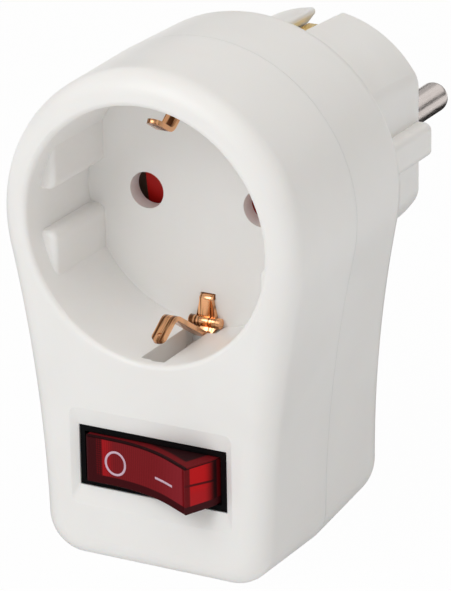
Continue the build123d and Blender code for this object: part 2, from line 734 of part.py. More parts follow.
# Socket earth bracket: web behind the carrier and two sprung clips in the recess
with BuildPart() as socket_earth_bracket:
    clip_face_depth = recess_depth - clip_thickness / 2 - clip_face_gap
    clip_back_depth = recess_depth - clip_face_gap
    for way in (-1, 1):
        tab = (clip_face_depth, way * (clip_riser + clip_thickness))
        shoulder = (clip_face_depth, way * clip_shoulder)
        fold = (clip_face_depth - clip_fold_lean, way * clip_fold)
        crest = (clip_crest_depth, way * clip_crest)
        tip = (clip_tip_depth, way * clip_tip)
        bent_strip(side(clip_x), [(socket_web_depth, 0), (socket_web_depth, way * clip_riser),
                                  (clip_face_depth, way * clip_riser), shoulder, fold, crest, tip],
                   clip_bends, clip_thickness, clip_width)
        # Tab that widens to the rolled shoulder, and the gusset that narrows to the fold
        tapered_plate(clip_x, tab, shoulder, (clip_width, clip_tab_width), clip_thickness)
        tapered_plate(clip_x, shoulder, fold, (clip_shoulder_width, clip_width), clip_thickness)
        with Locations((clip_x, at(clip_back_depth - clip_shoulder_round), shoulder[1])):
            Cylinder(clip_shoulder_round, clip_shoulder_width, rotation=(0, 90, 0))
        hole_plane = Plane(origin=(clip_x, at((crest[0] + 3 * tip[0]) / 4), (crest[1] + 3 * tip[1]) / 4),
                           x_dir=(1, 0, 0), z_dir=(0, tip[1] - crest[1], crest[0] - tip[0]))
        with BuildSketch(hole_plane):
            Circle(clip_hole_radius)
        extrude(amount=2 * clip_thickness, both=True, mode=Mode.SUBTRACT)
    tip_edges = socket_earth_bracket.edges().filter_by(
        lambda edge: edge.center().Y < at(clip_tip_depth + clip_thickness)
        and abs(edge.length - clip_thickness) < 0.01)
    fillet(tip_edges, radius=clip_tip_round)
    # Eyelet of the rivet in the middle of the web
    round_bar(0, 0, socket_web_radius,
              (socket_web_depth - clip_thickness / 2, socket_web_depth + clip_thickness / 2))
    round_bar(0, 0, rivet_radius + pin_fit, (socket_web_depth - 1, socket_web_depth + 1), Mode.SUBTRACT)
socket_earth_bracket.part.label = "socket_earth_bracket"

# Plug earth bracket: web in the plug body and a contact strip in each of its earth slots
with BuildPart() as plug_earth_bracket:
    for way in (-1, 1):
        bent_strip(side(0), [(plug_web_depth, 0), (plug_web_depth, way * strip_level),
                             (seat_depth - earth_strip_end, way * strip_level)],
                   [earth_strip_bend], clip_thickness, earth_strip_width)
    round_bar(0, 0, rivet_radius + pin_fit, (plug_web_depth - 1, plug_web_depth + 1), Mode.SUBTRACT)
plug_earth_bracket.part.label = "plug_earth_bracket"

# Earth rivet through both webs
with BuildPart() as earth_rivet:
    web_front = socket_web_depth - clip_thickness / 2
    web_back = plug_web_depth + clip_thickness / 2
    round_bar(0, 0, rivet_radius, (web_front, web_back))
    round_bar(0, 0, rivet_head_radius, (web_front - rivet_head, web_front))
    round_bar(0, 0, rivet_head_radius, (web_back, web_back + rivet_head))
earth_rivet.part.label = "earth_rivet"

# Switch body: black frame, rocker well, flange, floor with the slots of three terminals
terminal_x = (switch_x - side_terminal_offset, switch_x, switch_x + side_terminal_offset)
well_half_length = switch_half_length - switch_wall
well_half_height = switch_half_height - switch_wall
with BuildPart() as switch_body:
    block((switch_x - switch_half_length, switch_x + switch_half_length), (switch_front, switch_depth),
          (switch_z - switch_half_height, switch_z + switch_half_height))
    block((switch_x - flange_width / 2, switch_x + flange_width / 2),
          (front_wall + flange_gap, front_wall + flange_gap + flange_thickness),
          (switch_z - flange_height / 2, switch_z + flange_height / 2))
    block((switch_x - well_half_length, switch_x + well_half_length), (0, switch_depth - switch_floor),
          (switch_z - well_half_height, switch_z + well_half_height), Mode.SUBTRACT)
    slot_half_thickness = terminal_thickness / 2 + terminal_slot_gap
    slot_half_width = terminal_width / 2 + terminal_slot_gap
    for x in terminal_x:
        block((x - slot_half_thickness, x + slot_half_thickness),
              (switch_depth - switch_floor - 1, switch_depth + 1),
              (switch_z - slot_half_width, switch_z + slot_half_width), Mode.SUBTRACT)
    with Locations((switch_x, at(rocker_pivot_depth), switch_z)):
        Cylinder(trunnion_radius + trunnion_gap, 3 * switch_half_height, mode=Mode.SUBTRACT)
switch_body.part.label = "switch_body"

# Plane of the rocker: its local x runs along the rocker, its local y into the switch
tilt = radians(rocker_tilt)
rocker_pivot = (switch_x, at(rocker_pivot_depth), switch_z)
rocker_plane = Plane(origin=rocker_pivot, x_dir=(cos(tilt), -sin(tilt), 0), z_dir=(0, 0, 1))
rocker_valley = rocker_corner - rocker_half_length * tan(tilt)


def rocker_profile(inset=0.0, extra_depth=0.0):
    """Side view of the rocker: hollowed face, flared ends and straight skirt."""
    end = rocker_half_length - inset
    flare = end + rocker_skirt_flare
    bottom = rocker_skirt + extra_depth
    corner = inset - rocker_corner
    with BuildSketch(rocker_plane) as profile:
        with BuildLine():
            FilletPolyline((-end, corner), (0, inset - rocker_valley), (end, corner),
                           radius=rocker_face_radius)
            Polyline((end, corner), (flare, 0), (flare, bottom), (-flare, bottom), (-flare, 0),
                     (-end, corner))
        make_face()
    return profile.sketch


# Rocker: hollow translucent shell with trunnions and the tube of the plunger
with BuildPart() as rocker:
    extrude(rocker_profile(), amount=rocker_half_height, both=True)
    extrude(rocker_profile(rocker_shell, 1.0), amount=rocker_half_height - rocker_shell, both=True,
            mode=Mode.SUBTRACT)
    with BuildSketch(rocker_plane):
        with Locations((0, (plunger_tube_depth - rocker_valley + rocker_shell / 2) / 2)):
            Rectangle(2 * plunger_tube_half, plunger_tube_depth + rocker_valley - rocker_shell / 2)
    extrude(amount=rocker_half_height - rocker_shell / 2, both=True)
    with BuildSketch(rocker_plane):
        Circle(trunnion_radius)
    extrude(amount=trunnion_reach, both=True)
    tube_end = Plane(origin=rocker_plane.from_local_coords((0, plunger_tube_depth, 0)),
                     x_dir=(0, 0, 1), z_dir=-rocker_plane.y_dir)
    with BuildSketch(tube_end):
        Circle(plunger_radius + plunger_gap)
    extrude(amount=plunger_tube_depth + rocker_valley - rocker_shell, mode=Mode.SUBTRACT)
rocker.part.label = "rocker"

# Plunger with a rounded tip, in the tube of the rocker
with BuildPart() as plunger:
    plunger_top = plunger_reach - plunger_length
    with BuildSketch(Plane(origin=rocker_plane.from_local_coords((0, plunger_top, 0)),
                           x_dir=(0, 0, 1), z_dir=rocker_plane.y_dir)):
        Circle(plunger_radius)
    extrude(amount=plunger_length - plunger_radius)
    with Locations(rocker_plane.from_local_coords((0, plunger_reach - plunger_radius, 0))):
        Sphere(plunger_radius)
plunger.part.label = "plunger"

# Spring behind the plunger
spring_top = -rocker_valley + rocker_shell + plunger_spring_wire / 2 + spring_end_gap
spring_travel = plunger_top - plunger_spring_wire / 2 - spring_end_gap - spring_top
with BuildPart() as plunger_spring:
    with BuildLine() as plunger_line:
        Helix(pitch=spring_travel / plunger_spring_turns, height=spring_travel,
              radius=plunger_radius - plunger_spring_wire,
              center=rocker_plane.from_local_coords((0, spring_top, 0)), direction=rocker_plane.y_dir)
    with BuildSketch(Plane(origin=plunger_line.line @ 0, z_dir=plunger_line.line % 0)):
        Circle(plunger_spring_wire / 2)
    sweep()
plunger_spring.part.label = "plunger_spring"

# Neon lamp and its resistor, lying in the two halves of the rocker
with BuildPart() as neon_lamp:
    lamp_plane = Plane(origin=rocker_plane.from_local_coords((lamp_offset - lamp_length / 2, -lamp_level, 0)),
                       x_dir=(0, 0, 1), z_dir=rocker_plane.x_dir)
    with BuildSketch(lamp_plane):
        Circle(lamp_radius)
    extrude(amount=lamp_length - lamp_radius)
    with Locations(rocker_plane.from_local_coords((lamp_offset + lamp_length / 2 - lamp_radius,
                                                   -lamp_level, 0))):
        Sphere(lamp_radius)
neon_lamp.part.label = "neon_lamp"

with BuildPart() as lamp_resistor:
    resistor_plane = Plane(
        origin=rocker_plane.from_local_coords((-lamp_offset - resistor_length / 2, -resistor_level, 0)),
        x_dir=(0, 0, 1), z_dir=rocker_plane.x_dir)
    with BuildSketch(resistor_plane):
        Circle(resistor_radius)
    extrude(amount=resistor_length)
lamp_resistor.part.label = "lamp_resistor"

# Contact lever: see-saw over the common terminal, with a contact button at its live end
lever_tip = radians(lever_tilt)
lever_pivot = (switch_x, at(lever_depth + lever_thickness), switch_z)
lever_plane = Plane(origin=lever_pivot, x_dir=(cos(lever_tip), sin(lever_tip), 0), z_dir=(0, 0, 1))
with BuildPart() as contact_lever:
    with BuildSketch(lever_plane):
        with Locations((0, -lever_thickness / 2)):
            Rectangle(2 * lever_half_length, lever_thickness)
    extrude(amount=lever_width / 2, both=True)
    button_plane = Plane(origin=lever_plane.from_local_coords((-button_offset, -lever_thickness / 2, 0)),
                         x_dir=(0, 0, 1), z_dir=lever_plane.y_dir)
    with BuildSketch(button_plane):
        Circle(button_radius)
    extrude(amount=lever_thickness / 2 + button_height)
contact_lever.part.label = "contact_lever"

# Where the button of the lever ends when the switch is on
closed_depth = (lever_depth + lever_thickness + button_offset * sin(lever_tip)
                + button_height * cos(lever_tip) + button_radius * sin(lever_tip))
closed_x = switch_x - button_offset * cos(lever_tip) + button_height * sin(lever_tip)


def terminal_blade(x, depth_span):
    """Blade of a terminal through the floor of the switch, in the part being built."""
    block((x - terminal_thickness / 2, x + terminal_thickness / 2), depth_span,
          (switch_z - terminal_width / 2, switch_z + terminal_width / 2))


with BuildPart() as common_terminal:
    terminal_blade(switch_x, (lever_depth + lever_thickness + lever_pivot_gap, foot_depth))
common_terminal.part.label = "common_terminal"

with BuildPart() as load_terminal:
    pad_front = closed_depth + button_gap + button_height
    terminal_blade(terminal_x[0], (pad_front, foot_depth))
    block((terminal_x[0] - terminal_thickness / 2, closed_x + button_radius),
          (pad_front, pad_front + strip_thickness),
          (switch_z - terminal_width / 2, switch_z + terminal_width / 2))
    round_bar(closed_x, switch_z, button_radius, (pad_front - button_height, pad_front))
load_terminal.part.label = "load_terminal"

with BuildPart() as lamp_terminal:
    terminal_blade(terminal_x[2], (lamp_terminal_depth, foot_depth))
lamp_terminal.part.label = "lamp_terminal"

pieces = [front_shell, rear_shell, plug_body, housing_screws, shutter_rotor, shutter_spring, contact_carrier,
          carrier_screws, live_contact, neutral_contact, lamp_bar, live_bar, live_pin, neutral_pin,
          socket_earth_bracket, plug_earth_bracket, earth_rivet, switch_body, rocker, plunger,
          plunger_spring, neon_lamp, lamp_resistor, contact_lever, common_terminal, load_terminal,
          lamp_terminal]
os.makedirs("parts", exist_ok=True)
for piece in pieces:
    export_step(piece.part, f"parts/{piece.part.label}.step")
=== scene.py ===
"""Dresses the switched adapter plug: finishes, detailed pieces, studio and camera."""

import json
import logging
import math
from dataclasses import dataclass
from enum import Enum
from typing import Optional, Sequence, Union

import bmesh
import bpy
from mathutils import Matrix, Vector

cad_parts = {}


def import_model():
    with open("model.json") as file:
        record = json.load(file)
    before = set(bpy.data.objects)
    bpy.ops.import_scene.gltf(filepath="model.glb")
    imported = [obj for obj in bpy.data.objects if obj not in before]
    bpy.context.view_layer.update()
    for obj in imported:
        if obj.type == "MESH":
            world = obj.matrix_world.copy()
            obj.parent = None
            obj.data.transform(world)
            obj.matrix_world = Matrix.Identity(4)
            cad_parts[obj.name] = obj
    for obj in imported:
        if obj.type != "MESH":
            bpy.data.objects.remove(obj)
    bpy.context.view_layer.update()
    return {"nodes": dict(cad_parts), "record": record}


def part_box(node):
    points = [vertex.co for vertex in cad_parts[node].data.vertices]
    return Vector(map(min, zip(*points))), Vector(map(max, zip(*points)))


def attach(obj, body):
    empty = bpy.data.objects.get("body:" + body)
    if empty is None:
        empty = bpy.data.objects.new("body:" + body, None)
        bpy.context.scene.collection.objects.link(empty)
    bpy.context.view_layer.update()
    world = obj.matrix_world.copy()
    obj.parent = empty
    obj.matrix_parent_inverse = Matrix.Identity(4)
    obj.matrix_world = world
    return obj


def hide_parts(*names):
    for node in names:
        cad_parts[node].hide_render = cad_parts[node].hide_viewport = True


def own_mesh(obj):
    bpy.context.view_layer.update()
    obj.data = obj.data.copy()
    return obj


LOG = logging.getLogger("adapter_plug")
MM = 0.001
IN_MM = (MM, MM, MM)
WHITE = (1.0, 1.0, 1.0)
QUAD = ((0, 1, 2, 3),)
FLOOR_GAP = 0.02 * MM

Colour = tuple[float, float, float]
Place = tuple[float, float, float]
Value = Union[float, int, bool, str, Colour, Sequence[float], bpy.types.NodeSocket]


class Body(Enum):
    """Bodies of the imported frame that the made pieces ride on."""

    HOUSING = "housing"
    ROCKER = "switch_rocker"


class Slot(Enum):
    """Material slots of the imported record."""

    SHELL = "shell"
    CARRIER = "carrier"
    SHUTTER = "shutter"
    COPPER = "copper"
    BRASS = "brass"
    NICKEL = "nickel"
    STEEL = "steel"
    BLACK = "black_plastic"
    ROCKER = "rocker_red"
    GLASS = "lamp_glass"
    RESISTOR = "resistor"


class Drawn(Enum):
    """How the rolling marks of a metal lie: small factors are the directions that they follow."""

    ALONG_PINS = (1.0, 0.05, 1.0)
    ACROSS_WIDTH = (1.0, 0.06, 0.06)


def metres(place: Place) -> Place:
    """Turns a place in millimetres into one in metres."""
    return tuple(MM * part for part in place)


def grey(level: float) -> Colour:
    """Returns the neutral colour of a level."""
    return (level, level, level)


class NodeSheet:
    """Adds nodes to a node tree, in rows, and links them."""

    PER_ROW = 12
    COLUMN, ROW = 180, -260
    FIRST_COLOUR, SECOND_COLOUR, MIXED_COLOUR = 6, 7, 2

    def __init__(self, tree: bpy.types.NodeTree) -> None:
        """Keeps the tree that is filled.

        Args:
            tree: the node tree of a material, a group or a geometry modifier.
        """
        self.tree = tree
        self.count = 0

    def add(self, kind: str, inputs: Optional[dict[Union[str, int], Value]] = None,
            **settings: Value) -> bpy.types.Node:
        """Adds one node.

        Args:
            kind: Blender's type name of the node.
            inputs: value or source socket of each input, by name or number.
            settings: properties of the node.

        Returns:
            The node.
        """
        node = self.tree.nodes.new(kind)
        row, column = divmod(self.count, self.PER_ROW)
        node.location = (self.COLUMN * column, self.ROW * row)
        self.count += 1
        for name, value in settings.items():
            setattr(node, name, value)
        for key, value in (inputs or {}).items():
            self.feed(node.inputs[key], value)
        return node

    def feed(self, socket: bpy.types.NodeSocket, value: Value) -> None:
        """Gives an input a plain value or links a source to it.

        Args:
            socket: the input.
            value: the value, colour or source socket.
        """
        if isinstance(value, bpy.types.NodeSocket):
            self.tree.links.new(value, socket)
        elif socket.type == "RGBA" and len(value) == 3:
            socket.default_value = (*value, 1.0)
        else:
            socket.default_value = value

    def math(self, operation: str, *values: Value) -> bpy.types.NodeSocket:
        """Adds a Math node and returns its result.

        Args:
            operation: name of the operation.
            values: its operands.

        Returns:
            The output socket.
        """
        return self.add("ShaderNodeMath", dict(enumerate(values)), operation=operation).outputs[0]

    def ramp(self, value: Value, low: Value, high: Value, start: float = 0.0, end: float = 1.0,
             smooth: bool = True) -> bpy.types.NodeSocket:
        """Maps a value between two limits to another range.

        Args:
            value: what is mapped.
            low: value at which the range begins.
            high: value at which the range ends.
            start: result at the low end.
            end: result at the high end.
            smooth: whether the change eases in and out.

        Returns:
            The output socket.
        """
        kind = "SMOOTHSTEP" if smooth else "LINEAR"
        node = self.add("ShaderNodeMapRange", {0: value, 1: low, 2: high, 3: start, 4: end},
                        interpolation_type=kind)
        return node.outputs[0]

    def mix(self, share: Value, first: Value, second: Value, blend: str = "MIX") -> bpy.types.NodeSocket:
        """Mixes two colours.

        Args:
            share: how much of the second colour there is.
            first: the first colour.
            second: the second colour.
            blend: how they are mixed.

        Returns:
            The colour socket.
        """
        node = self.add("ShaderNodeMix", {0: share, self.FIRST_COLOUR: first, self.SECOND_COLOUR: second},
                        data_type="RGBA", blend_type=blend)
        return node.outputs[self.MIXED_COLOUR]


class ShaderGroups:
    """Shader groups that several finishes share, each built once."""

    def __init__(self) -> None:
        """Starts with no group built."""
        self.built: dict[str, bpy.types.NodeTree] = {}

    def get(self, name: str) -> bpy.types.NodeTree:
        """Returns a shared group and builds it the first time.

        Args:
            name: name of the group, which is also the name of its method.

        Returns:
            The node group.
        """
        if name not in self.built:
            self.built[name] = getattr(self, name)()
        return self.built[name]

    def _start(
            self, name: str, inputs: dict[str, float], outputs: Sequence[str]
    ) -> tuple[NodeSheet, dict[str, bpy.types.NodeSocket], bpy.types.Node]:
        """Makes an empty shader group with its sockets.

        Args:
            name: name of the group.
            inputs: names and usual values of its inputs.
            outputs: names of its outputs.

        Returns:
            Its sheet, its inputs by name and its output node.
        """
        tree = bpy.data.node_groups.new(name, "ShaderNodeTree")
        for key, value in inputs.items():
            socket = tree.interface.new_socket(key, in_out="INPUT", socket_type="NodeSocketFloat")
            socket.default_value = value
        for key in outputs:
            tree.interface.new_socket(key, in_out="OUTPUT", socket_type="NodeSocketFloat")
        sheet = NodeSheet(tree)
        entry = sheet.add("NodeGroupInput")
        end = sheet.add("NodeGroupOutput")
        return sheet, {key: entry.outputs[key] for key in inputs}, end

    def moulded_grain(self) -> bpy.types.NodeTree:
        """Fine spark-eroded grain, faint flow marks and uneven gloss of a moulding.

        Returns:
            The group, with the outputs Height, Gloss and Flow.
        """
        sheet, given, end = self._start("moulded_grain", {"Grain size": 0.0003, "Flow size": 0.02},
                                        ("Height", "Gloss", "Flow"))
        place = sheet.add("ShaderNodeTexCoord").outputs["Object"]
        fine = sheet.add("ShaderNodeTexNoise", {"Vector": place, "Detail": 2.0, "Roughness": 0.6,
                                                "Scale": sheet.math("DIVIDE", 1.0, given["Grain size"])})
        broad = sheet.add("ShaderNodeTexNoise", {"Vector": place, "Detail": 3.0, "Roughness": 0.5,
                                                 "Distortion": 0.6,
                                                 "Scale": sheet.math("DIVIDE", 1.0, given["Flow size"])})
        sheet.feed(end.inputs["Height"], fine.outputs[0])
        sheet.feed(end.inputs["Gloss"], sheet.ramp(broad.outputs[0], 0.3, 0.7))
        sheet.feed(end.inputs["Flow"], sheet.ramp(broad.outputs[0], 0.25, 0.75, -1.0, 1.0))
        return sheet.tree

    def drawn_strip(self) -> bpy.types.NodeTree:
        """Rolling marks in two sizes and dark streaks in the wide ones: tarnished metal, and on the copper
        also painted shade.

        Returns:
            The group, with the outputs Height, Gloss and the dark streaks of tarnished metal and painted
            shade.
        """
        sheet, given, end = self._start(
            "drawn_strip",
            {"Along X": 1.0, "Along Y": 1.0, "Along Z": 1.0, "Mark size": 0.00012, "Streak size": 0.00055},
            ("Height", "Gloss", "Tarnish"))
        place = sheet.add("ShaderNodeTexCoord").outputs["Object"]
        stretch = sheet.add("ShaderNodeCombineXYZ", {0: given["Along X"], 1: given["Along Y"],
                                                     2: given["Along Z"]})
        drawn = sheet.add("ShaderNodeVectorMath", {0: place, 1: stretch.outputs[0]},
                          operation="MULTIPLY")
        marks, streaks = (
            sheet.add("ShaderNodeTexNoise", {
                "Vector": drawn.outputs[0], "Detail": 2.0, "Roughness": 0.6,
                "Scale": sheet.math("DIVIDE", 1.0, given[size])}).outputs[0]
            for size in ("Mark size", "Streak size"))
        streak_gain = 1.6
        both = sheet.math("MULTIPLY_ADD", streaks, streak_gain, marks)
        sheet.feed(end.inputs["Height"], both)
        sheet.feed(end.inputs["Gloss"], sheet.ramp(marks, 0.3, 0.7))
        # The dark streaks: tarnished metal, and on the copper also painted shade.
        sheet.feed(end.inputs["Tarnish"], sheet.ramp(streaks, 0.45, 0.62))
        return sheet.tree


GROUPS = ShaderGroups()


def blank_material(name: str) -> tuple[bpy.types.Material, NodeSheet]:
    """Makes a material without nodes.

    Args:
        name: name of the material.

    Returns:
        The material and its sheet.
    """
    material = bpy.data.materials.new(name)
    material.use_nodes = True
    material.node_tree.nodes.clear()
    return material, NodeSheet(material.node_tree)


def new_material(name: str,
                 plain: dict[str, Value]) -> tuple[bpy.types.Material, NodeSheet, bpy.types.Node]:
    """Makes a material with a Principled shader.

    Args:
        name: name of the material.
        plain: the shader's inputs that are the same all over the surface.

    Returns:
        The material, its sheet and its Principled node.
    """
    material, sheet = blank_material(name)
    shader = sheet.add("ShaderNodeBsdfPrincipled", plain)
    sheet.add("ShaderNodeOutputMaterial", {"Surface": shader.outputs[0]})
    return material, sheet, shader


@dataclass(frozen=True)
class Moulding:
    """Opaque moulded plastic with a fine grain."""

    name: str
    colour: Colour
    roughness: float
    gloss_spread: float = 0.06
    flow_tint: float = 0.015
    grain_size: float = 0.4 * MM
    grain_height: float = 0.004 * MM
    grain_strength: float = 0.5
    flow_size: float = 20.0 * MM
    soft_light: float = 0.0
    soft_reach: float = 1.2 * MM
    soft_tint: Colour = (1.0, 0.75, 0.6)
    specular: float = 0.5

    def build(self) -> bpy.types.Material:
        """Builds the material.

        Returns:
            The material.
        """
        material, sheet, shader = new_material(self.name, {
            "Subsurface Weight": self.soft_light, "Subsurface Radius": self.soft_tint,
            "Subsurface Scale": self.soft_reach, "Specular IOR Level": self.specular})
        grain = sheet.add("ShaderNodeGroup", node_tree=GROUPS.get("moulded_grain"))
        sheet.feed(grain.inputs["Grain size"], self.grain_size)
        sheet.feed(grain.inputs["Flow size"], self.flow_size)
        low = self.roughness - self.gloss_spread / 2
        sheet.feed(shader.inputs["Roughness"],
                   sheet.ramp(grain.outputs["Gloss"], 0.0, 1.0, low, low + self.gloss_spread))
        shade = sheet.math("MULTIPLY_ADD", grain.outputs["Flow"], self.flow_tint, 1.0)
        tinted = sheet.add("ShaderNodeVectorMath", {0: self.colour, "Scale": shade}, operation="SCALE")
        sheet.feed(shader.inputs["Base Color"], tinted.outputs[0])
        bump = sheet.add("ShaderNodeBump", {"Strength": self.grain_strength, "Distance": self.grain_height,
                                            "Height": grain.outputs["Height"]})
        sheet.feed(shader.inputs["Normal"], bump.outputs[0])
        return material


@dataclass(frozen=True)
class StripMetal:
    """Bright metal with rolling marks, dark streaks of tarnished metal that on the copper are also painted
    shade and, on a pressed strip, a low crown.
    """

    name: str
    colour: Colour
    tarnish_and_shade: Colour
    roughness: float
    drawn: Drawn = Drawn.ACROSS_WIDTH
    tarnish_and_shade_share: float = 0.35
    gloss_share: float = 0.25
    mark_height: float = 0.003 * MM
    mark_strength: float = 0.4
    camber: float = 0.0
    camber_centre: float = 0.5 * MM
    camber_reach: float = 1.8 * MM

    def build(self) -> bpy.types.Material:
        """Builds the material.

        Returns:
            The material.
        """
        material, sheet, shader = new_material(self.name, {"Metallic": 1.0})
        strip = sheet.add("ShaderNodeGroup", node_tree=GROUPS.get("drawn_strip"))
        for key, value in zip(("Along X", "Along Y", "Along Z"), self.drawn.value):
            sheet.feed(strip.inputs[key], value)
        sheet.feed(shader.inputs["Roughness"],
                   sheet.ramp(strip.outputs["Gloss"], 0.0, 1.0, (1 - self.gloss_share) * self.roughness,
                              (1 + self.gloss_share) * self.roughness))
        # Dark streaks of tarnished metal, which on the copper are also painted shade.
        share = sheet.math("MULTIPLY", strip.outputs["Tarnish"], self.tarnish_and_shade_share)
        sheet.feed(shader.inputs["Base Color"], sheet.mix(share, self.colour, self.tarnish_and_shade))
        normal = sheet.add("ShaderNodeBump", {"Strength": self.mark_strength, "Distance": self.mark_height,
                                              "Height": strip.outputs["Height"]}).outputs[0]
        if self.camber:
            normal = self.crowned(sheet, normal)
        sheet.feed(shader.inputs["Normal"], normal)
        return material

    def crowned(self, sheet: NodeSheet, normal: bpy.types.NodeSocket) -> bpy.types.NodeSocket:
        """Leans the normals as on a strip that is a little higher along its middle.

        Args:
            sheet: the sheet of the material.
            normal: the normals with the rolling marks.

        Returns:
            The leaned normals.
        """
        place = sheet.add("ShaderNodeTexCoord").outputs["Object"]
        across = sheet.add("ShaderNodeSeparateXYZ", {0: place}).outputs[0]
        away = sheet.math("DIVIDE", sheet.math("SUBTRACT", across, self.camber_centre), self.camber_reach)
        rise = sheet.math("SUBTRACT", 1.0, sheet.math("MULTIPLY", away, away))
        return sheet.add("ShaderNodeBump", {"Strength": 1.0, "Distance": self.camber, "Normal": normal,
                                            "Height": rise}).outputs[0]


@dataclass(frozen=True)
class LampGlass:
    """Clear glass of the lamp, a little uneven in tint and gloss."""

    name: str
    colour: Colour = (0.95, 0.86, 0.78)
    dimmed: float = 0.96
    roughness: float = 0.03
    worn: float = 2.0
    bending: float = 1.5

    def build(self) -> bpy.types.Material:
        """Builds the material.

        Returns:
            The material.
        """
        material, sheet, shader = new_material(self.name, {"Transmission Weight": 1.0, "IOR": self.bending})
        gloss = sheet.add("ShaderNodeGroup", node_tree=GROUPS.get("moulded_grain")).outputs["Gloss"]
        sheet.feed(shader.inputs["Roughness"],
                   sheet.ramp(gloss, 0.0, 1.0, self.roughness, self.worn * self.roughness))
        dimmer = tuple(self.dimmed * part for part in self.colour)
        sheet.feed(shader.inputs["Base Color"], sheet.mix(gloss, self.colour, dimmer))
        return material


@dataclass(frozen=True)
class RockerForm:
    """Sizes of the rocker in its own frame, in millimetres: u along it, v into the switch, w up."""

    pivot: Place = (0.4, -56.0, -36.0)
    tilt: float = math.radians(14.0)
    half_length: float = 9.9
    half_height: float = 3.7
    corner: float = 4.6
    flare: float = 0.8
    hollow_radius: float = 24.0
    hollow_end: float = 5.806
    hollow_centre: float = -26.865

    def face_depth(self, sheet: NodeSheet, u: bpy.types.NodeSocket) -> bpy.types.NodeSocket:
        """Works out where the hollowed face lies at a place along the rocker.

        Args:
            sheet: the sheet of the material.
            u: distance from the middle along the rocker.

        Returns:
            The v of the face.
        """
        away = sheet.math("ABSOLUTE", u)
        curved = sheet.math("MINIMUM", away, self.hollow_end)
        square = sheet.math("MULTIPLY", curved, curved)
        root = sheet.math("SQRT", sheet.math("SUBTRACT", self.hollow_radius ** 2, square))
        bowl = sheet.math("ADD", root, self.hollow_centre)
        straight = sheet.math("SUBTRACT", away, curved)
        return sheet.math("MULTIPLY_ADD", straight, -math.tan(self.tilt), bowl)


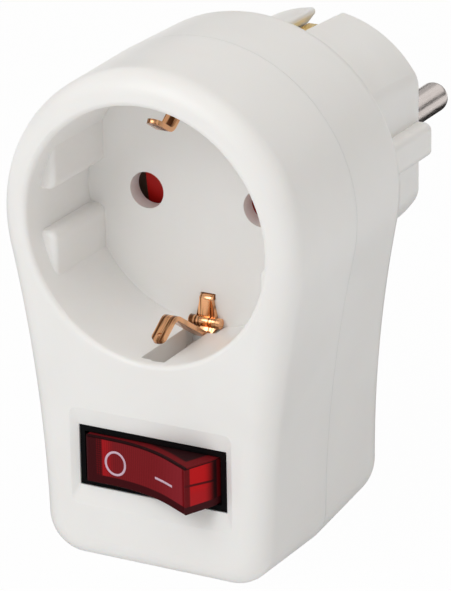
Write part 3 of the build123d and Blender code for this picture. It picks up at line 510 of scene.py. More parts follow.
@dataclass(frozen=True)
class TintedShell:
    """Clear red cap over a red core, with painted light at its thin edges and its right end, where light
    passes through, and painted shade inside it and on its left end.

    Distances are millimetres along u, v and w of the rocker's form. A pair is where a change of colour
    begins and ends. A rim is measured from its edge inwards, and a front from the hollowed face.
    """

    name: str
    form: RockerForm = RockerForm()
    # Painted light: the two brightest reds stand for light passing through the thin cap.
    lit_through_red: Colour = (0.56, 0.008, 0.011)
    lit_strip_red: Colour = (0.40, 0.012, 0.016)
    core_red: Colour = (0.215, 0.015, 0.019)
    pale_red: Colour = (0.270, 0.021, 0.029)
    wall_red: Colour = (0.150, 0.006, 0.009)
    seam_red: Colour = (0.100, 0.005, 0.007)
    maroon: Colour = (0.052, 0.007, 0.009)
    # Painted shade: the darkest red stands for the unlit inside of the cap.
    hollow_shade: Colour = (0.020, 0.003, 0.004)
    roughness: float = 0.14
    worn: float = 1.6
    dulled: float = 0.75
    end_dulling: float = 0.75
    specular: float = 0.10
    grain_strength: float = 0.25
    grain_height: float = 0.003 * MM
    rib_pitch: float = 0.36
    rib_depth: float = 0.22
    dot_depth: float = 0.8
    right_half: tuple[float, float] = (-1.0, 1.0)
    end_rim: tuple[float, float] = (0.30, 0.18)
    flank_rim: tuple[float, float] = (0.24, 0.16)
    crest_rim: tuple[float, float] = (0.40, 0.30)
    face_strip: tuple[float, float] = (-7.1, -5.2)
    face_paling: tuple[float, float] = (1.0, 9.0)
    face_dots: tuple[float, float] = (-7.25, -7.45)
    face_left: tuple[float, float] = (-8.2, -8.4)
    face_right: tuple[float, float] = (9.0, 9.3)
    sill_slope: float = -0.006
    sill_level: float = -2.42
    sill_soft: float = 0.08
    end_paling: tuple[float, float] = (0.6, -1.2)
    end_pale_share: float = 0.30
    end_corner: tuple[float, float] = (-3.62, -3.85)
    end_back: tuple[float, float] = (-1.3, 0.9)
    end_sill: tuple[float, float] = (-2.42, -2.58)
    seam_slope: float = -0.079
    seam_level: float = 0.43
    seam_half: tuple[float, float] = (0.24, 0.12)
    well_opening: tuple[float, float] = (-2.2, 1.5)
    well_front: tuple[float, float] = (1.20, 1.80)
    well_rim: tuple[float, float] = (1.55, 2.05)
    flank_front: tuple[float, float] = (0.42, 0.30)

    def build(self) -> bpy.types.Material:
        """Builds the material.

        Returns:
            The material.
        """
        material, sheet, shader = new_material(self.name, {"Specular IOR Level": self.specular})
        place = sheet.add("ShaderNodeTexCoord").outputs["Object"]
        own = sheet.add("ShaderNodeMapping", {
            "Vector": place, "Location": metres(self.form.pivot),
            "Rotation": (0.0, 0.0, -self.form.tilt), "Scale": IN_MM}, vector_type="TEXTURE")
        u, v, w = sheet.add("ShaderNodeSeparateXYZ", {0: own.outputs[0]}).outputs
        behind_face = sheet.math("SUBTRACT", v, self.form.face_depth(sheet, u))
        slope = self.form.flare / self.form.corner
        reach = sheet.math("MULTIPLY_ADD", sheet.math("ADD", v, self.form.corner), slope,
                           self.form.half_length)
        inside_end = sheet.math("SUBTRACT", reach, sheet.math("ABSOLUTE", u))
        colour = self.face(sheet, u, w)
        # Painted light and shade: the right end is painted lit and the left end is painted dark maroon, in
        # shade.
        lit_and_shaded_end = sheet.mix(sheet.ramp(u, *self.right_half), self.maroon, self.end(sheet, v, w))
        on_end = sheet.ramp(inside_end, *self.end_rim)
        on_flank = sheet.ramp(w, *self.below_top(self.flank_rim))
        colour = sheet.mix(on_end, colour, lit_and_shaded_end)
        colour = sheet.mix(on_flank, colour, self.top(sheet, u, behind_face, inside_end))
        sheet.feed(shader.inputs["Base Color"], colour)
        dull = sheet.math("MAXIMUM", on_flank, sheet.math("MULTIPLY", on_end, self.end_dulling))
        grain = sheet.add("ShaderNodeGroup", node_tree=GROUPS.get("moulded_grain"))
        gloss = sheet.ramp(grain.outputs["Gloss"], 0.0, 1.0, self.roughness, self.worn * self.roughness)
        sheet.feed(shader.inputs["Roughness"],
                   sheet.math("MULTIPLY_ADD", dull, self.dulled - self.roughness, gloss))
        bump = sheet.add("ShaderNodeBump", {"Strength": self.grain_strength, "Distance": self.grain_height,
                                            "Height": grain.outputs["Height"]})
        sheet.feed(shader.inputs["Normal"], bump.outputs[0])
        return material

    def below_top(self, rim: tuple[float, float]) -> tuple[float, float]:
        """Turns distances below the upper flank into values of w."""
        return (self.form.half_height - rim[0], self.form.half_height - rim[1])

    def ribs(self, sheet: NodeSheet, along: bpy.types.NodeSocket,
             depth: float) -> bpy.types.NodeSocket:
        """Brightness of the fine ribs inside the cap.

        Args:
            sheet: the sheet of the material.
            along: distance across the ribs.
            depth: how much darker the gaps are.

        Returns:
            A factor between 1 less the depth and 1.
        """
        wave = sheet.math("SINE", sheet.math("MULTIPLY", along, 2 * math.pi / self.rib_pitch))
        return sheet.math("MULTIPLY_ADD", wave, depth / 2, 1 - depth / 2)

    def face(self, sheet: NodeSheet, u: bpy.types.NodeSocket,
             w: bpy.types.NodeSocket) -> bpy.types.NodeSocket:
        """Colour of the hollowed face.

        Args:
            sheet: the sheet of the material.
            u: distance along the rocker.
            w: height above its middle.

        Returns:
            The colour.
        """
        # Painted light: a bright strip at the left of the face stands for light passing through the cap.
        colour = sheet.mix(sheet.ramp(u, *self.face_strip), self.lit_strip_red, self.core_red)
        colour = sheet.mix(sheet.ramp(u, *self.face_paling), colour, self.pale_red)
        lines = self.ribs(sheet, u, self.rib_depth)
        shade = sheet.add("ShaderNodeCombineColor", {0: lines, 1: lines, 2: lines}).outputs[0]
        colour = sheet.mix(1.0, colour, shade, "MULTIPLY")
        dots = sheet.math("MULTIPLY", self.ribs(sheet, u, self.dot_depth),
                          self.ribs(sheet, w, self.dot_depth))
        dotted = sheet.mix(dots, self.maroon, self.wall_red)
        colour = sheet.mix(sheet.ramp(u, *self.face_dots), colour, dotted)
        colour = sheet.mix(sheet.ramp(u, *self.face_left), colour, self.maroon)
        colour = sheet.mix(sheet.ramp(u, *self.face_right), colour, self.wall_red)
        sill = sheet.math("MULTIPLY_ADD", u, self.sill_slope, self.sill_level)
        below = sheet.math("SUBTRACT", sill, w)
        colour = sheet.mix(sheet.ramp(below, -self.sill_soft, self.sill_soft), colour, self.maroon)
        # Painted shade along the top edge of the face.
        return sheet.mix(sheet.ramp(w, *self.below_top(self.crest_rim)), colour, self.hollow_shade)

    def end(self, sheet: NodeSheet, v: bpy.types.NodeSocket,
            w: bpy.types.NodeSocket) -> bpy.types.NodeSocket:
        """Colour of the end: painted light passing through it, painted shade towards its back, and a rib
        that splits it.

        Args:
            sheet: the sheet of the material.
            v: depth from the pivot.
            w: height above the middle.

        Returns:
            The colour.
        """
        # Painted light: the end is painted as lit through, a little paler low down.
        colour = sheet.mix(sheet.ramp(w, *self.end_paling, 0.0, self.end_pale_share), self.lit_through_red,
                           self.pale_red)
        colour = sheet.mix(sheet.ramp(v, *self.end_corner), colour, self.wall_red)
        seam = sheet.math("MULTIPLY_ADD", v, self.seam_slope, self.seam_level)
        off_seam = sheet.math("ABSOLUTE", sheet.math("SUBTRACT", w, seam))
        colour = sheet.mix(sheet.ramp(off_seam, *self.seam_half), colour, self.seam_red)
        # Painted shade towards the back of the end, next to the frame.
        colour = sheet.mix(sheet.ramp(v, *self.end_back), colour, self.hollow_shade)
        colour = sheet.mix(sheet.ramp(w, *self.end_sill), colour, self.maroon)
        # Painted shade along the top edge of the end.
        return sheet.mix(sheet.ramp(w, *self.below_top(self.crest_rim)), colour, self.hollow_shade)

    def top(self, sheet: NodeSheet, u: bpy.types.NodeSocket, behind_face: bpy.types.NodeSocket,
            inside_end: bpy.types.NodeSocket) -> bpy.types.NodeSocket:
        """Colour of the flanks: red walls round painted shade, the unlit inside of the cap.

        Args:
            sheet: the sheet of the material.
            u: distance along the rocker.
            behind_face: distance behind the hollowed face.
            inside_end: distance inside the nearer end.

        Returns:
            The colour.
        """
        opening = sheet.ramp(u, *self.well_opening)
        deep = sheet.math("MULTIPLY", sheet.ramp(behind_face, *self.well_front),
                          sheet.ramp(inside_end, *self.well_rim))
        # Painted shade where the flank shows the inside of the cap, and along the edge of the face.
        colour = sheet.mix(sheet.math("MULTIPLY", deep, opening), self.wall_red, self.hollow_shade)
        return sheet.mix(sheet.ramp(behind_face, *self.flank_front), colour, self.hollow_shade)


FINISHES: dict[Slot, Union[Moulding, StripMetal, LampGlass, TintedShell]] = {
    Slot.SHELL: Moulding("white_moulding", (0.925, 0.915, 0.898), 0.36, soft_light=0.2),
    Slot.CARRIER: Moulding("brown_moulding", (0.22, 0.135, 0.095), 0.5),
    Slot.SHUTTER: Moulding("red_moulding", (0.52, 0.012, 0.010), 0.34, soft_light=0.1, specular=0.25),
    # The copper's near black streaks are painted shade of its pressed ribs as well as tarnished metal.
    Slot.COPPER: StripMetal("copper_strip", (0.92, 0.49, 0.25), (0.12, 0.038, 0.012), 0.18,
                            tarnish_and_shade_share=0.95, mark_height=0.010 * MM, camber=0.24 * MM),
    Slot.BRASS: StripMetal("brass_strip", (0.95, 0.75, 0.37), (0.80, 0.58, 0.24), 0.26),
    Slot.NICKEL: StripMetal("nickel_plate", (0.63, 0.57, 0.54), (0.50, 0.44, 0.41), 0.24,
                            Drawn.ALONG_PINS),
    Slot.STEEL: StripMetal("zinc_steel", (0.60, 0.60, 0.61), (0.42, 0.41, 0.40), 0.28,
                           Drawn.ALONG_PINS),
    Slot.BLACK: Moulding("black_moulding", (0.004, 0.004, 0.0045), 0.34, specular=0.22),
    Slot.ROCKER: TintedShell("tinted_red"),
    Slot.GLASS: LampGlass("lamp_glass"),
    Slot.RESISTOR: Moulding("lacquered_ceramic", (0.62, 0.50, 0.34), 0.4),
}
PRINT = Moulding("pad_print", (0.66, 0.46, 0.57), 0.42)


class Wardrobe:
    """Builds each finish once and hands it out by slot."""

    def __init__(self) -> None:
        """Starts with no finish built."""
        self.materials: dict[Slot, bpy.types.Material] = {}

    def get(self, slot: Slot) -> bpy.types.Material:
        """Returns the material of a slot.

        Args:
            slot: the record's slot.

        Returns:
            The material.
        """
        if slot not in self.materials:
            self.materials[slot] = FINISHES[slot].build()
        return self.materials[slot]

    def print_ink(self) -> bpy.types.Material:
        """Returns the ink of the printed marks, built once."""
        return bpy.data.materials.get(PRINT.name) or PRINT.build()


def link(name: str, data: Union[bpy.types.Mesh, bpy.types.Light, bpy.types.Camera]) -> bpy.types.Object:
    """Puts a mesh, a light or a camera into the scene as an object at the origin.

    Args:
        name: name of the object.
        data: the mesh, with its place in its points, or the light or camera.

    Returns:
        The object.
    """
    thing = bpy.data.objects.new(name, data)
    bpy.context.scene.collection.objects.link(thing)
    return thing


def flattened(thing: bpy.types.Object) -> bpy.types.Object:
    """Turns an object with modifiers into one with a plain mesh.

    Args:
        thing: the object.

    Returns:
        The same object, with the evaluated mesh and no modifiers.
    """
    bpy.context.view_layer.update()
    seen = thing.evaluated_get(bpy.context.evaluated_depsgraph_get())
    mesh = bpy.data.meshes.new_from_object(seen)
    thing.modifiers.clear()
    thing.data = mesh
    return thing


def smooth(mesh: bpy.types.Mesh, angle: float) -> None:
    """Shades a mesh smoothly between its sharp edges.

    Args:
        mesh: the mesh.
        angle: angle in degrees from which an edge is sharp.
    """
    mesh.polygons.foreach_set("use_smooth", [True] * len(mesh.polygons))
    mesh.set_sharp_from_angle(angle=math.radians(angle))


def outward(mesh: bpy.types.Mesh, apart: float = 0.0005 * MM) -> None:
    """Merges a mesh's doubled points and turns its faces outwards.

    Args:
        mesh: the mesh.
        apart: distance below which points are doubles.
    """
    work = bmesh.new()
    work.from_mesh(mesh)
    bmesh.ops.remove_doubles(work, verts=work.verts, dist=apart)
    bmesh.ops.recalc_face_normals(work, faces=work.faces)
    work.to_mesh(mesh)
    work.free()


def stand_in(piece: bpy.types.Object, node: str, body: Body) -> None:
    """Makes a piece stand for a CAD node.

    Args:
        piece: the piece.
        node: name of the node.
        body: the body that the piece rides on.
    """
    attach(piece, body.value)
    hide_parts(node)
    LOG.info("%s stands for %s, %d faces", piece.name, node, len(piece.data.polygons))


@dataclass
class Dresser:
    """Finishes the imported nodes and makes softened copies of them."""

    nodes: dict[str, bpy.types.Object]
    wardrobe: Wardrobe
    merge_distance: float = 0.002 * MM
    flat_angle: float = 0.4
    edge_angle: float = 32.0
    shading_angle: float = 40.0

    def dress(self, node: str, slot: Slot) -> None:
        """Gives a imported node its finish.

        Args:
            node: name of the node.
            slot: the record's slot of its finish.
        """
        thing = self.nodes[node]
        for place in thing.material_slots:
            place.material = self.wardrobe.get(slot)
        LOG.info("%s wears %s", node, slot.value)

    def softened(self, node: str, slot: Slot, body: Body, round_off: float,
                 steps: int) -> bpy.types.Object:
        """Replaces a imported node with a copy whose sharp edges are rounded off.

        Args:
            node: name of the node.
            slot: the record's slot of its finish.
            body: the body that it rides on.
            round_off: width of the rounded edge, in metres.
            steps: number of faces across the rounded edge.

        Returns:
            The new piece.
        """
        work = bmesh.new()
        work.from_mesh(self.nodes[node].data)
        bmesh.ops.remove_doubles(work, verts=work.verts, dist=self.merge_distance)
        bmesh.ops.dissolve_limit(work, angle_limit=math.radians(self.flat_angle), verts=work.verts,
                                 edges=work.edges)
        mesh = bpy.data.meshes.new(f"{node}_soft")
        work.to_mesh(mesh)
        work.free()
        if "custom_normal" in mesh.attributes:
            mesh.attributes.remove(mesh.attributes["custom_normal"])
        mesh.materials.clear()
        mesh.materials.append(self.wardrobe.get(slot))
        piece = link(f"{node}_soft", mesh)
        bevel = piece.modifiers.new("edges", "BEVEL")
        bevel.width = round_off
        bevel.segments = steps
        bevel.limit_method = "ANGLE"
        bevel.angle_limit = math.radians(self.edge_angle)
        bevel.use_clamp_overlap = True
        flattened(piece)
        smooth(piece.data, self.shading_angle)
        weigh = piece.modifiers.new("normals", "WEIGHTED_NORMAL")
        weigh.keep_sharp = True
        flattened(piece)
        stand_in(piece, node, body)
        return piece


class GrownTree:
    """Geometry node tree with named inputs, which ends in realized, finished geometry."""

    def __init__(self, name: str, inputs: dict[str, str]) -> None:
        """Makes the empty tree with its sockets.

        Args:
            name: name of the tree.
            inputs: kind of each input by name, such as Float, Vector or Object.
        """
        self.tree = bpy.data.node_groups.new(name, "GeometryNodeTree")
        self.tree.is_modifier = True
        names = {"Geometry": "Geometry", **inputs, "Finish": "Material"}
        self.identifiers = {}
        for key, kind in names.items():
            socket = self.tree.interface.new_socket(key, in_out="INPUT", socket_type=f"NodeSocket{kind}")
            self.identifiers[key] = socket.identifier
        self.tree.interface.new_socket("Geometry", in_out="OUTPUT", socket_type="NodeSocketGeometry")
        self.sheet = NodeSheet(self.tree)
        entry = self.sheet.add("NodeGroupInput")
        self.given = {key: entry.outputs[key] for key in names}

    def ring(self, steps: int, radius: Value) -> bpy.types.NodeSocket:
        """Draws a circle of a number of steps and a radius."""
        return self.sheet.add("GeometryNodeCurvePrimitiveCircle",
                              {"Resolution": steps, "Radius": radius}).outputs[0]

    def helix(self, steps: int, turns: Value, radius: Value, length: Value) -> bpy.types.NodeSocket:
        """Winds a helix round +Z.

        Args:
            steps: points in each turn.
            turns: number of turns.
            radius: its radius.
            length: its length.

        Returns:
            The curve.
        """
        return self.sheet.add("GeometryNodeCurveSpiral", {
            "Resolution": steps, "Rotations": turns, "Start Radius": radius, "End Radius": radius,
            "Height": length}).outputs[0]

    def swept(self, path: bpy.types.NodeSocket, profile: bpy.types.NodeSocket) -> bpy.types.NodeSocket:
        """Sweeps a profile along a path and closes its ends."""
        return self.sheet.add("GeometryNodeCurveToMesh", {
            "Curve": path, "Profile Curve": profile, "Fill Caps": True}).outputs[0]

    def moved(self, geometry: bpy.types.NodeSocket, **how: Value) -> bpy.types.NodeSocket:
        """Moves geometry by the Translation, Rotation and Scale that are given."""
        return self.sheet.add("GeometryNodeTransform", {"Geometry": geometry, **how}).outputs[0]

    def joined(self, *parts: bpy.types.NodeSocket) -> bpy.types.NodeSocket:
        """Joins geometries into one.

        Args:
            parts: the geometries.

        Returns:
            The joined geometry.
        """
        join = self.sheet.add("GeometryNodeJoinGeometry")
        for part in parts:
            self.sheet.feed(join.inputs[0], part)
        return join.outputs[0]

    def close(self, geometry: bpy.types.NodeSocket) -> None:
        """Realizes the geometry, gives it its finish and ends the tree.

        Args:
            geometry: the finished geometry.
        """
        whole = self.sheet.add("GeometryNodeRealizeInstances", {0: geometry})
        dressed = self.sheet.add("GeometryNodeSetMaterial",
                                 {"Geometry": whole.outputs[0], "Material": self.given["Finish"]})
        self.sheet.add("NodeGroupOutput", {0: dressed.outputs[0]})

    def grow(self, piece: bpy.types.Object, finish: bpy.types.Material,
             values: dict[str, Union[Value, bpy.types.Object]]) -> bpy.types.Object:
        """Runs the tree on an object and keeps the result as its plain mesh.

        Args:
            piece: the object.
            finish: its material.
            values: value of each input by name.

        Returns:
            The same object.
        """
        modifier = piece.modifiers.new(self.tree.name, "NODES")
        modifier.node_group = self.tree
        for key, value in {**values, "Finish": finish}.items():
            modifier[self.identifiers[key]] = value
        return flattened(piece)


@dataclass
class Fasteners:
    """A set of crossed screws, one on each of its places, in metres."""

    name: str
    replaced: str
    places: Sequence[Place]
    head_radius: float = 2.55 * MM
    head_height: float = 1.8 * MM
    head_profile: tuple[tuple[float, float], ...] = (
        (0.0, 1.0), (0.66, 1.0), (0.86, 0.86), (0.97, 0.66), (1.0, 0.45), (1.0, 0.12), (0.96, 0.0))
    recess_long: float = 2.6 * MM
    recess_wide: float = 0.6 * MM
    recess_share: float = 0.55
    length: float = 22.0 * MM
    tip_share: float = 0.35
    thread_radius: float = 1.4 * MM
    thread_size: float = 0.26 * MM
    thread_start: float = 0.6 * MM
    plain_length: float = 2.2 * MM
    pitch: float = 1.1 * MM
    thread_steps: int = 28
    thread_sides: int = 3
    facets: int = 40
    merge_distance: float = 0.001 * MM
    shading_angle: float = 32.0

    def one_screw(self) -> bpy.types.Object:
        """Turns the blank of one screw, with its head towards +Y and its seat at the origin.

        Returns:
            The blank.
        """
        core = self.thread_radius - self.thread_size
        outline = [(out * self.head_radius, up * self.head_height) for out, up in self.head_profile]
        outline += [(core, 0.0), (core, 2 * core - self.length), (self.tip_share * core, -self.length),
                    (0.0, -self.length)]
        work = bmesh.new()
        rim = [work.verts.new((radius, y, 0.0)) for radius, y in outline]
        edges = [work.edges.new(pair) for pair in zip(rim, rim[1:])]
        bmesh.ops.spin(work, geom=rim + edges, cent=(0, 0, 0), axis=(0, 1, 0), angle=2 * math.pi,
                       steps=self.facets)
        mesh = bpy.data.meshes.new(f"{self.name}_blank")
        work.to_mesh(mesh)
        work.free()
        outward(mesh, self.merge_distance)
        return link(f"{self.name}_blank", mesh)

    def tree(self) -> GrownTree:
        """Builds the tree that cuts the recess, winds the thread and repeats the screw.

        Returns:
            The tree.
        """
        grown = GrownTree(f"{self.name}_set", {
            "Blank": "Object", "Recess size": "Vector", "Second recess": "Vector",
            "Recess place": "Vector", "Turns": "Float", "Thread length": "Float",
            "Thread radius": "Float", "Thread size": "Float"})
        sheet, given = grown.sheet, grown.given
        blank = sheet.add("GeometryNodeObjectInfo", {"Object": given["Blank"]}).outputs["Geometry"]
        for size in ("Recess size", "Second recess"):
            cutter = sheet.add("GeometryNodeMeshCube", {"Size": given[size]})
            placed = grown.moved(cutter.outputs[0], Translation=given["Recess place"])
            blank = sheet.add("GeometryNodeMeshBoolean", {"Mesh 1": blank, "Mesh 2": placed},
                              operation="DIFFERENCE").outputs[0]
        coil = grown.helix(self.thread_steps, given["Turns"], given["Thread radius"],
                           given["Thread length"])
        thread = grown.moved(grown.swept(coil, grown.ring(self.thread_sides, given["Thread size"])),
                             Rotation=(math.radians(90), 0.0, 0.0),
                             Translation=(0.0, -self.thread_start, 0.0))
        spread = sheet.add("GeometryNodeInstanceOnPoints", {"Points": given["Geometry"],
                                                            "Instance": grown.joined(blank, thread)})
        grown.close(spread.outputs[0])
        return grown

    def build(self, wardrobe: Wardrobe) -> None:
        """Builds the set and puts it in the place of its CAD node.

        Args:
            wardrobe: the finishes.
        """
        mesh = bpy.data.meshes.new(self.name)
        mesh.from_pydata(list(self.places), [], [])
        screws = link(self.name, mesh)
        blank = self.one_screw()
        depth = 2 * self.recess_share * self.head_height
        threaded = self.length - self.plain_length
        self.tree().grow(screws, wardrobe.get(Slot.STEEL), {
            "Blank": blank, "Recess size": (self.recess_long, depth, self.recess_wide),
            "Second recess": (self.recess_wide, depth, self.recess_long),
            "Recess place": (0.0, self.head_height, 0.0), "Turns": threaded / self.pitch,
            "Thread length": threaded, "Thread radius": self.thread_radius - self.thread_size,
            "Thread size": self.thread_size})
        bpy.data.objects.remove(blank)
        smooth(screws.data, self.shading_angle)
        stand_in(screws, self.replaced, Body.HOUSING)


@dataclass
class WoundSpring:
    """Coil spring in millimetres, which runs from its origin's +Y turned about the upright."""

    name: str
    replaced: str
    body: Body
    origin: Place
    turn: float
    span: tuple[float, float]
    radius: float
    wire: float
    turns: float
    steps: int = 32
    facets: int = 12
    shading_angle: float = 60.0

    def tree(self) -> GrownTree:
        """Builds the tree that winds the coil.

        Returns:
            The tree.
        """
        grown = GrownTree(f"{self.name}_winding", {
            "Start": "Vector", "Length": "Float", "Turns": "Float", "Radius": "Float",
            "Wire radius": "Float", "Origin": "Vector", "Turn": "Vector", "Scale": "Vector"})
        given = grown.given
        coil = grown.helix(self.steps, given["Turns"], given["Radius"], given["Length"])
        wound = grown.swept(coil, grown.ring(self.facets, given["Wire radius"]))
        along = grown.moved(wound, Rotation=(math.radians(-90), 0.0, 0.0), Translation=given["Start"])
        grown.close(grown.moved(along, Translation=given["Origin"], Rotation=given["Turn"],
                                Scale=given["Scale"]))
        return grown

    def build(self, wardrobe: Wardrobe) -> bpy.types.Object:
        """Winds the spring and puts it in the place of its CAD node.

        Args:
            wardrobe: the finishes.

        Returns:
            The spring.
        """
        spring = link(self.name, bpy.data.meshes.new(self.name))
        first, last = self.span
        self.tree().grow(spring, wardrobe.get(Slot.STEEL), {
            "Start": (0.0, first + self.wire / 2, 0.0), "Length": last - first - self.wire,
            "Turns": self.turns, "Radius": self.radius, "Wire radius": self.wire / 2,
            "Origin": metres(self.origin), "Turn": (0.0, 0.0, self.turn), "Scale": IN_MM})
        outward(spring.data)
        smooth(spring.data, self.shading_angle)
        stand_in(spring, self.replaced, self.body)
        return spring


@dataclass
class SwitchRocker:
    """Rocker with its printed marks, its plunger spring and its tinted cap."""

    form: RockerForm = RockerForm()
    rounding: float = 0.16
    rounding_steps: int = 3
    ring_place: tuple[float, float] = (-5.12, -0.1)
    ring_half: tuple[float, float] = (1.62, 1.78)
    ring_steps: int = 96
    stroke: float = 0.36
    bar_span: tuple[float, float] = (2.4, 6.5)
    bar_level: float = -0.38
    bar_steps: int = 24
    print_height: float = 0.03
    spring_radius: float = 0.8
    spring_wire: float = 0.3
    spring_turns: float = 5.0
    spring_span: tuple[float, float] = (-0.98, 3.05)

    def marks_tree(self) -> GrownTree:
        """Builds the tree that lays the ring and the bar on the hollowed face.

        Returns:
            The tree.
        """
        grown = GrownTree("face_marks", {
            "Ring place": "Vector", "Ring half sizes": "Vector", "Bar start": "Vector",
            "Bar end": "Vector", "Stroke": "Float", "Thickness": "Float", "Pivot": "Vector",
            "Turn": "Vector", "Scale": "Vector"})
        sheet, given = grown.sheet, grown.given
        oval = grown.moved(grown.ring(self.ring_steps, 1.0), Scale=given["Ring half sizes"],
                           Translation=given["Ring place"])
        line = sheet.add("GeometryNodeCurvePrimitiveLine", {"Start": given["Bar start"],
                                                            "End": given["Bar end"]})
        bar = sheet.add("GeometryNodeResampleCurve", {"Curve": line.outputs[0], "Count": self.bar_steps})
        upright = sheet.add("GeometryNodeSetCurveNormal", {"Curve": grown.joined(oval, bar.outputs[0])},
                            mode="Z_UP")
        band = sheet.add("GeometryNodeCurvePrimitiveQuadrilateral", {"Width": given["Stroke"],
                                                                     "Height": given["Thickness"]})
        strokes = grown.swept(upright.outputs[0], band.outputs[0])
        flat = sheet.add("GeometryNodeInputPosition").outputs[0]
        u, w, rise = sheet.add("ShaderNodeSeparateXYZ", {0: flat}).outputs
        laid = sheet.add("ShaderNodeCombineXYZ", {
            0: u, 1: sheet.math("SUBTRACT", self.form.face_depth(sheet, u), rise), 2: w})
        bent = sheet.add("GeometryNodeSetPosition", {"Geometry": strokes, "Position": laid.outputs[0]})
        grown.close(grown.moved(bent.outputs[0], Translation=given["Pivot"], Rotation=given["Turn"],
                                Scale=given["Scale"]))
        return grown

    def marks(self, wardrobe: Wardrobe) -> None:
        """Prints the off ring and the on bar on the rocker.

        Args:
            wardrobe: the finishes.
        """
        marks = link("rocker_marks", bpy.data.meshes.new("rocker_marks"))
        self.marks_tree().grow(marks, wardrobe.print_ink(), {
            "Ring place": (*self.ring_place, 0.0), "Ring half sizes": (*self.ring_half, 1.0),
            "Bar start": (self.bar_span[0], self.bar_level, 0.0),
            "Bar end": (self.bar_span[1], self.bar_level, 0.0), "Stroke": self.stroke,
            "Thickness": self.print_height, "Pivot": metres(self.form.pivot),
            "Turn": (0.0, 0.0, -self.form.tilt), "Scale": IN_MM})
        outward(marks.data)
        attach(marks, Body.ROCKER.value)
        LOG.info("%s: %d faces", marks.name, len(marks.data.polygons))

    def build(self, dresser: Dresser) -> None:
        """Builds the cap, the marks and the spring.

        Args:
            dresser: the nodes and finishes.
        """
        dresser.softened("rocker", Slot.ROCKER, Body.ROCKER, self.rounding * MM, self.rounding_steps)
        self.marks(dresser.wardrobe)
        WoundSpring("plunger_coil", "plunger_spring", Body.ROCKER, self.form.pivot, -self.form.tilt,
                    self.spring_span, self.spring_radius, self.spring_wire,
                    self.spring_turns).build(dresser.wardrobe)


@dataclass
class HousingDetails:
    """Shutter spring, earth strip and screws of the housing, in millimetres."""

    spring_axis: Place = (0.0, -36.0, 6.6)
    spring_span: tuple[float, float] = (1.11, 9.29)
    spring_turn: float = math.radians(-90.0)
    spring_radius: float = 0.65
    spring_wire: float = 0.35
    spring_turns: float = 6.0
    spring_kept: float = 0.40
    strip_rounding: float = 0.10
    strip_steps: int = 2
    screw_rows: tuple[tuple[float, float], ...] = ((12.5, -46.0), (15.9, -22.8))
    screw_seat: float = -26.5

    def build(self, dresser: Dresser) -> None:
        """Builds the spring, the strip and the screws.

        Args:
            dresser: the nodes and finishes.
        """
        coil = WoundSpring("shutter_coil", "shutter_spring", Body.HOUSING, self.spring_axis,
                           self.spring_turn, self.spring_span, self.spring_radius, self.spring_wire,
                           self.spring_turns).build(dresser.wardrobe)
        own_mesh(coil)
        dresser.softened("socket_earth_bracket", Slot.COPPER, Body.HOUSING, self.strip_rounding * MM,
                         self.strip_steps)
        places = [metres((side * x, self.screw_seat, z)) for x, z in self.screw_rows for side in (-1, 1)]
        Fasteners("shell_screws", "housing_screws", places).build(dresser.wardrobe)


@dataclass(frozen=True)
class Lamp:
    """Soft round lamp in metres and watts, placed from the camera's target and aimed at it."""

    name: str
    place: Place
    size: float
    power: float
    tint: Colour


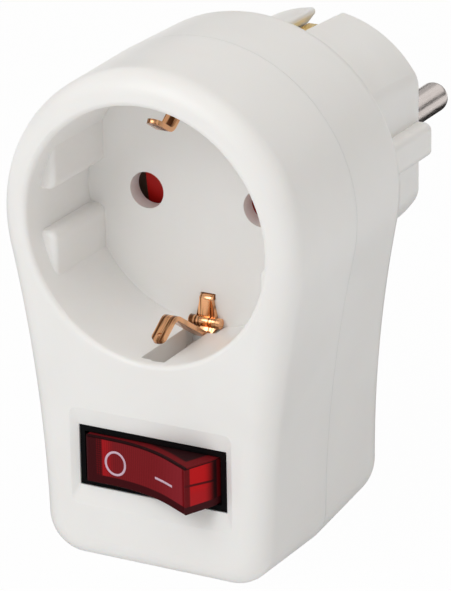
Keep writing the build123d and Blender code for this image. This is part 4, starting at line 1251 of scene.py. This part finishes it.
@dataclass
class Studio:
    """Pale floor, soft lights, cards for the reflections and the camera."""

    floor_z: float
    floor_half: float = 3.0
    floor_shade: float = 0.86
    target: Place = (2.4465 * MM, -38.0 * MM, -15.267 * MM)
    azimuth: float = 28.758
    elevation: float = 20.877
    roll: float = -0.991
    distance: float = 611.83 * MM
    near: float = 10.0 * MM
    focal_pixels: float = 4135.27
    image_width: float = 451.0
    sensor_width: float = 36.0
    sky: float = 0.50
    sky_tint: Colour = (1.0, 0.97, 0.93)
    lit_share: float = 0.70
    seen_share: float = 0.97
    lamps: tuple[Lamp, ...] = (
        Lamp("key", (-0.28, -0.88, 0.88), 0.85, 5.1, (0.955, 0.98, 1.0)),
        Lamp("top", (0.25, -0.05, 1.00), 0.80, 1.7, (1.0, 0.96, 0.91)))
    table_half: float = 0.20
    table_right: float = 0.052
    table_lift: float = 0.4 * MM
    table_shade: float = 0.008
    horizon_radius: float = 2.4
    horizon_steps: int = 96
    horizon_levels: tuple[float, float] = (0.06, 0.62)
    horizon_shade: float = 0.20
    screen: tuple[Place, Place] = ((-1.60, 1.90, 0.62), (-0.30, 1.90, 1.70))
    screen_shade: float = 0.55
    flag: tuple[Place, Place] = ((0.42, -0.02, -0.05), (0.42, 0.80, 0.25))
    flag_shade: float = 0.12

    def surface(self, name: str, points: Sequence[Place], faces: Sequence[Sequence[int]],
                cover: bpy.types.Material) -> bpy.types.Object:
        """Adds a surface that isn't part of the object.

        Args:
            name: name of the surface.
            points: its corners.
            faces: its faces.
            cover: its material.

        Returns:
            The surface.
        """
        mesh = bpy.data.meshes.new(name)
        mesh.from_pydata(points, [], faces)
        mesh.materials.append(cover)
        surface = link(name, mesh)
        return surface

    def level(self, half: float, right: float, height: float) -> list[Place]:
        """Returns the corners of a level rectangle that ends at the right where it is told."""
        return [(-half, -half, height), (right, -half, height), (right, half, height),
                (-half, half, height)]

    def floor(self) -> None:
        """Lays the floor, which keeps the shadow and is pale to the camera."""
        material, sheet = blank_material("pale_floor")
        matt = sheet.add("ShaderNodeBsdfDiffuse", {"Color": grey(self.floor_shade)})
        glow = sheet.add("ShaderNodeEmission", {"Color": WHITE, "Strength": 1.0})
        share = sheet.ramp(self.seen_ray(sheet), 0.0, 1.0, self.lit_share, self.seen_share, smooth=False)
        both = sheet.add("ShaderNodeMixShader", {0: share, 1: matt.outputs[0], 2: glow.outputs[0]})
        sheet.add("ShaderNodeOutputMaterial", {"Surface": both.outputs[0]})
        self.surface("floor", self.level(self.floor_half, self.floor_half, self.floor_z), QUAD, material)

    def card(self, name: str, points: Sequence[Place], shade: float,
             faces: Sequence[Sequence[int]] = QUAD, glows: bool = False, shades: bool = False) -> None:
        """Sets up a card that only glossy surfaces show, or one that only shades.

        Args:
            name: name of the card.
            points: its corners.
            shade: its level of grey.
            faces: its faces.
            glows: whether it shines by itself.
            shades: whether it keeps light off the object instead of showing in it.
        """
        material, sheet = blank_material(name)
        kind = "ShaderNodeEmission" if glows else "ShaderNodeBsdfDiffuse"
        cover = sheet.add(kind, {"Color": grey(shade)})
        sheet.add("ShaderNodeOutputMaterial", {"Surface": cover.outputs[0]})
        card = self.surface(name, points, faces, material)
        card.visible_camera = False
        card.visible_transmission = False
        card.visible_glossy = not shades
        card.visible_diffuse = shades
        card.visible_shadow = shades

    def table(self) -> None:
        """Lays a dark card round the object, below the parts that reflect it."""
        height = self.floor_z + self.table_lift
        self.card("dark_card", self.level(self.table_half, self.table_right, height), self.table_shade)

    def black_flag(self) -> None:
        """Stands a dark flag at the right, which keeps the low sky off that side."""
        (x, front, low), (_, back, high) = self.flag
        self.card("black_flag", [(x, front, low), (x, back, low), (x, back, high), (x, front, high)],
                  self.flag_shade, shades=True)

    def horizon(self) -> None:
        """Stands a grey band and a screen round the table, as the dim room behind it."""
        steps = self.horizon_steps
        angles = [2 * math.pi * step / steps for step in range(steps)]
        points = [(self.horizon_radius * math.cos(angle), self.horizon_radius * math.sin(angle), level)
                  for level in self.horizon_levels for angle in angles]
        faces = [(step, (step + 1) % steps, steps + (step + 1) % steps, steps + step)
                 for step in range(steps)]
        self.card("horizon_band", points, self.horizon_shade, faces, glows=True)
        (left, back, low), (right, _, high) = self.screen
        self.card("grey_screen", [(left, back, low), (right, back, low), (right, back, high),
                                  (left, back, high)], self.screen_shade, glows=True)

    def seen_ray(self, sheet: NodeSheet) -> bpy.types.NodeSocket:
        """Tells rays that see the background from those that light the object.

        Args:
            sheet: the sheet of the material or world.

        Returns:
            A socket that is 1 for camera, glossy and transmission rays.
        """
        path = sheet.add("ShaderNodeLightPath")
        seen = sheet.math("MAXIMUM", path.outputs["Is Camera Ray"], path.outputs["Is Glossy Ray"])
        return sheet.math("MAXIMUM", seen, path.outputs["Is Transmission Ray"])

    def world(self) -> None:
        """Makes the soft surrounding light, which is white where it is seen."""
        world = bpy.data.worlds.new("studio")
        bpy.context.scene.world = world
        world.use_nodes = True
        world.node_tree.nodes.clear()
        sheet = NodeSheet(world.node_tree)
        seen = self.seen_ray(sheet)
        strength = sheet.ramp(seen, 0.0, 1.0, self.sky, 1.0, smooth=False)
        colour = sheet.mix(seen, self.sky_tint, WHITE)
        back = sheet.add("ShaderNodeBackground", {"Color": colour, "Strength": strength})
        sheet.add("ShaderNodeOutputWorld", {"Surface": back.outputs[0]})

    def lights(self) -> None:
        """Hangs the soft lights, aimed at the object."""
        for lamp in self.lamps:
            light = bpy.data.lights.new(lamp.name, "AREA")
            light.shape = "DISK"
            light.size = lamp.size
            light.energy = lamp.power
            light.color = lamp.tint
            hung = link(lamp.name, light)
            hung.location = Vector(lamp.place) + Vector(self.target)
            hung.rotation_euler = Vector(lamp.place).to_track_quat("Z", "Y").to_euler()

    def camera(self) -> None:
        """Sets the camera at the viewing angle of the photograph."""
        turn, lift, lean = (math.radians(angle) for angle in (self.azimuth, self.elevation, self.roll))
        back = Vector((math.sin(turn) * math.cos(lift), -math.cos(turn) * math.cos(lift),
                       math.sin(lift)))
        right = Vector((math.cos(turn), math.sin(turn), 0.0))
        up = back.cross(right)
        leaned_right = math.cos(lean) * right + math.sin(lean) * up
        leaned_up = math.cos(lean) * up - math.sin(lean) * right
        lens = bpy.data.cameras.new("camera")
        lens.sensor_fit = "HORIZONTAL"
        lens.sensor_width = self.sensor_width
        lens.lens = self.focal_pixels * self.sensor_width / self.image_width
        lens.clip_start = self.near
        camera = link("camera", lens)
        place = Vector(self.target) + self.distance * back
        camera.matrix_world = Matrix.Translation(place) @ Matrix(
            (leaned_right, leaned_up, back)).transposed().to_4x4()
        bpy.context.scene.camera = camera

    def build(self) -> None:
        """Builds the studio around the object."""
        self.floor()
        self.table()
        self.horizon()
        self.black_flag()
        self.world()
        self.lights()
        self.camera()
        bpy.context.scene.view_settings.view_transform = "Standard"
        LOG.info("studio ready")


def main() -> None:
    """Builds every piece, the studio and the camera in order."""
    logging.basicConfig(level=logging.INFO, format="%(message)s")
    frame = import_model()
    dresser = Dresser(frame["nodes"], Wardrobe())
    for part in frame["record"]["subparts"]:
        dresser.dress(part["node"], Slot(part["material_slot"]))
    SwitchRocker().build(dresser)
    HousingDetails().build(dresser)
    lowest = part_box("front_shell")[0].z
    Studio(floor_z=lowest - FLOOR_GAP).build()


if __name__ == "__main__":
    main()
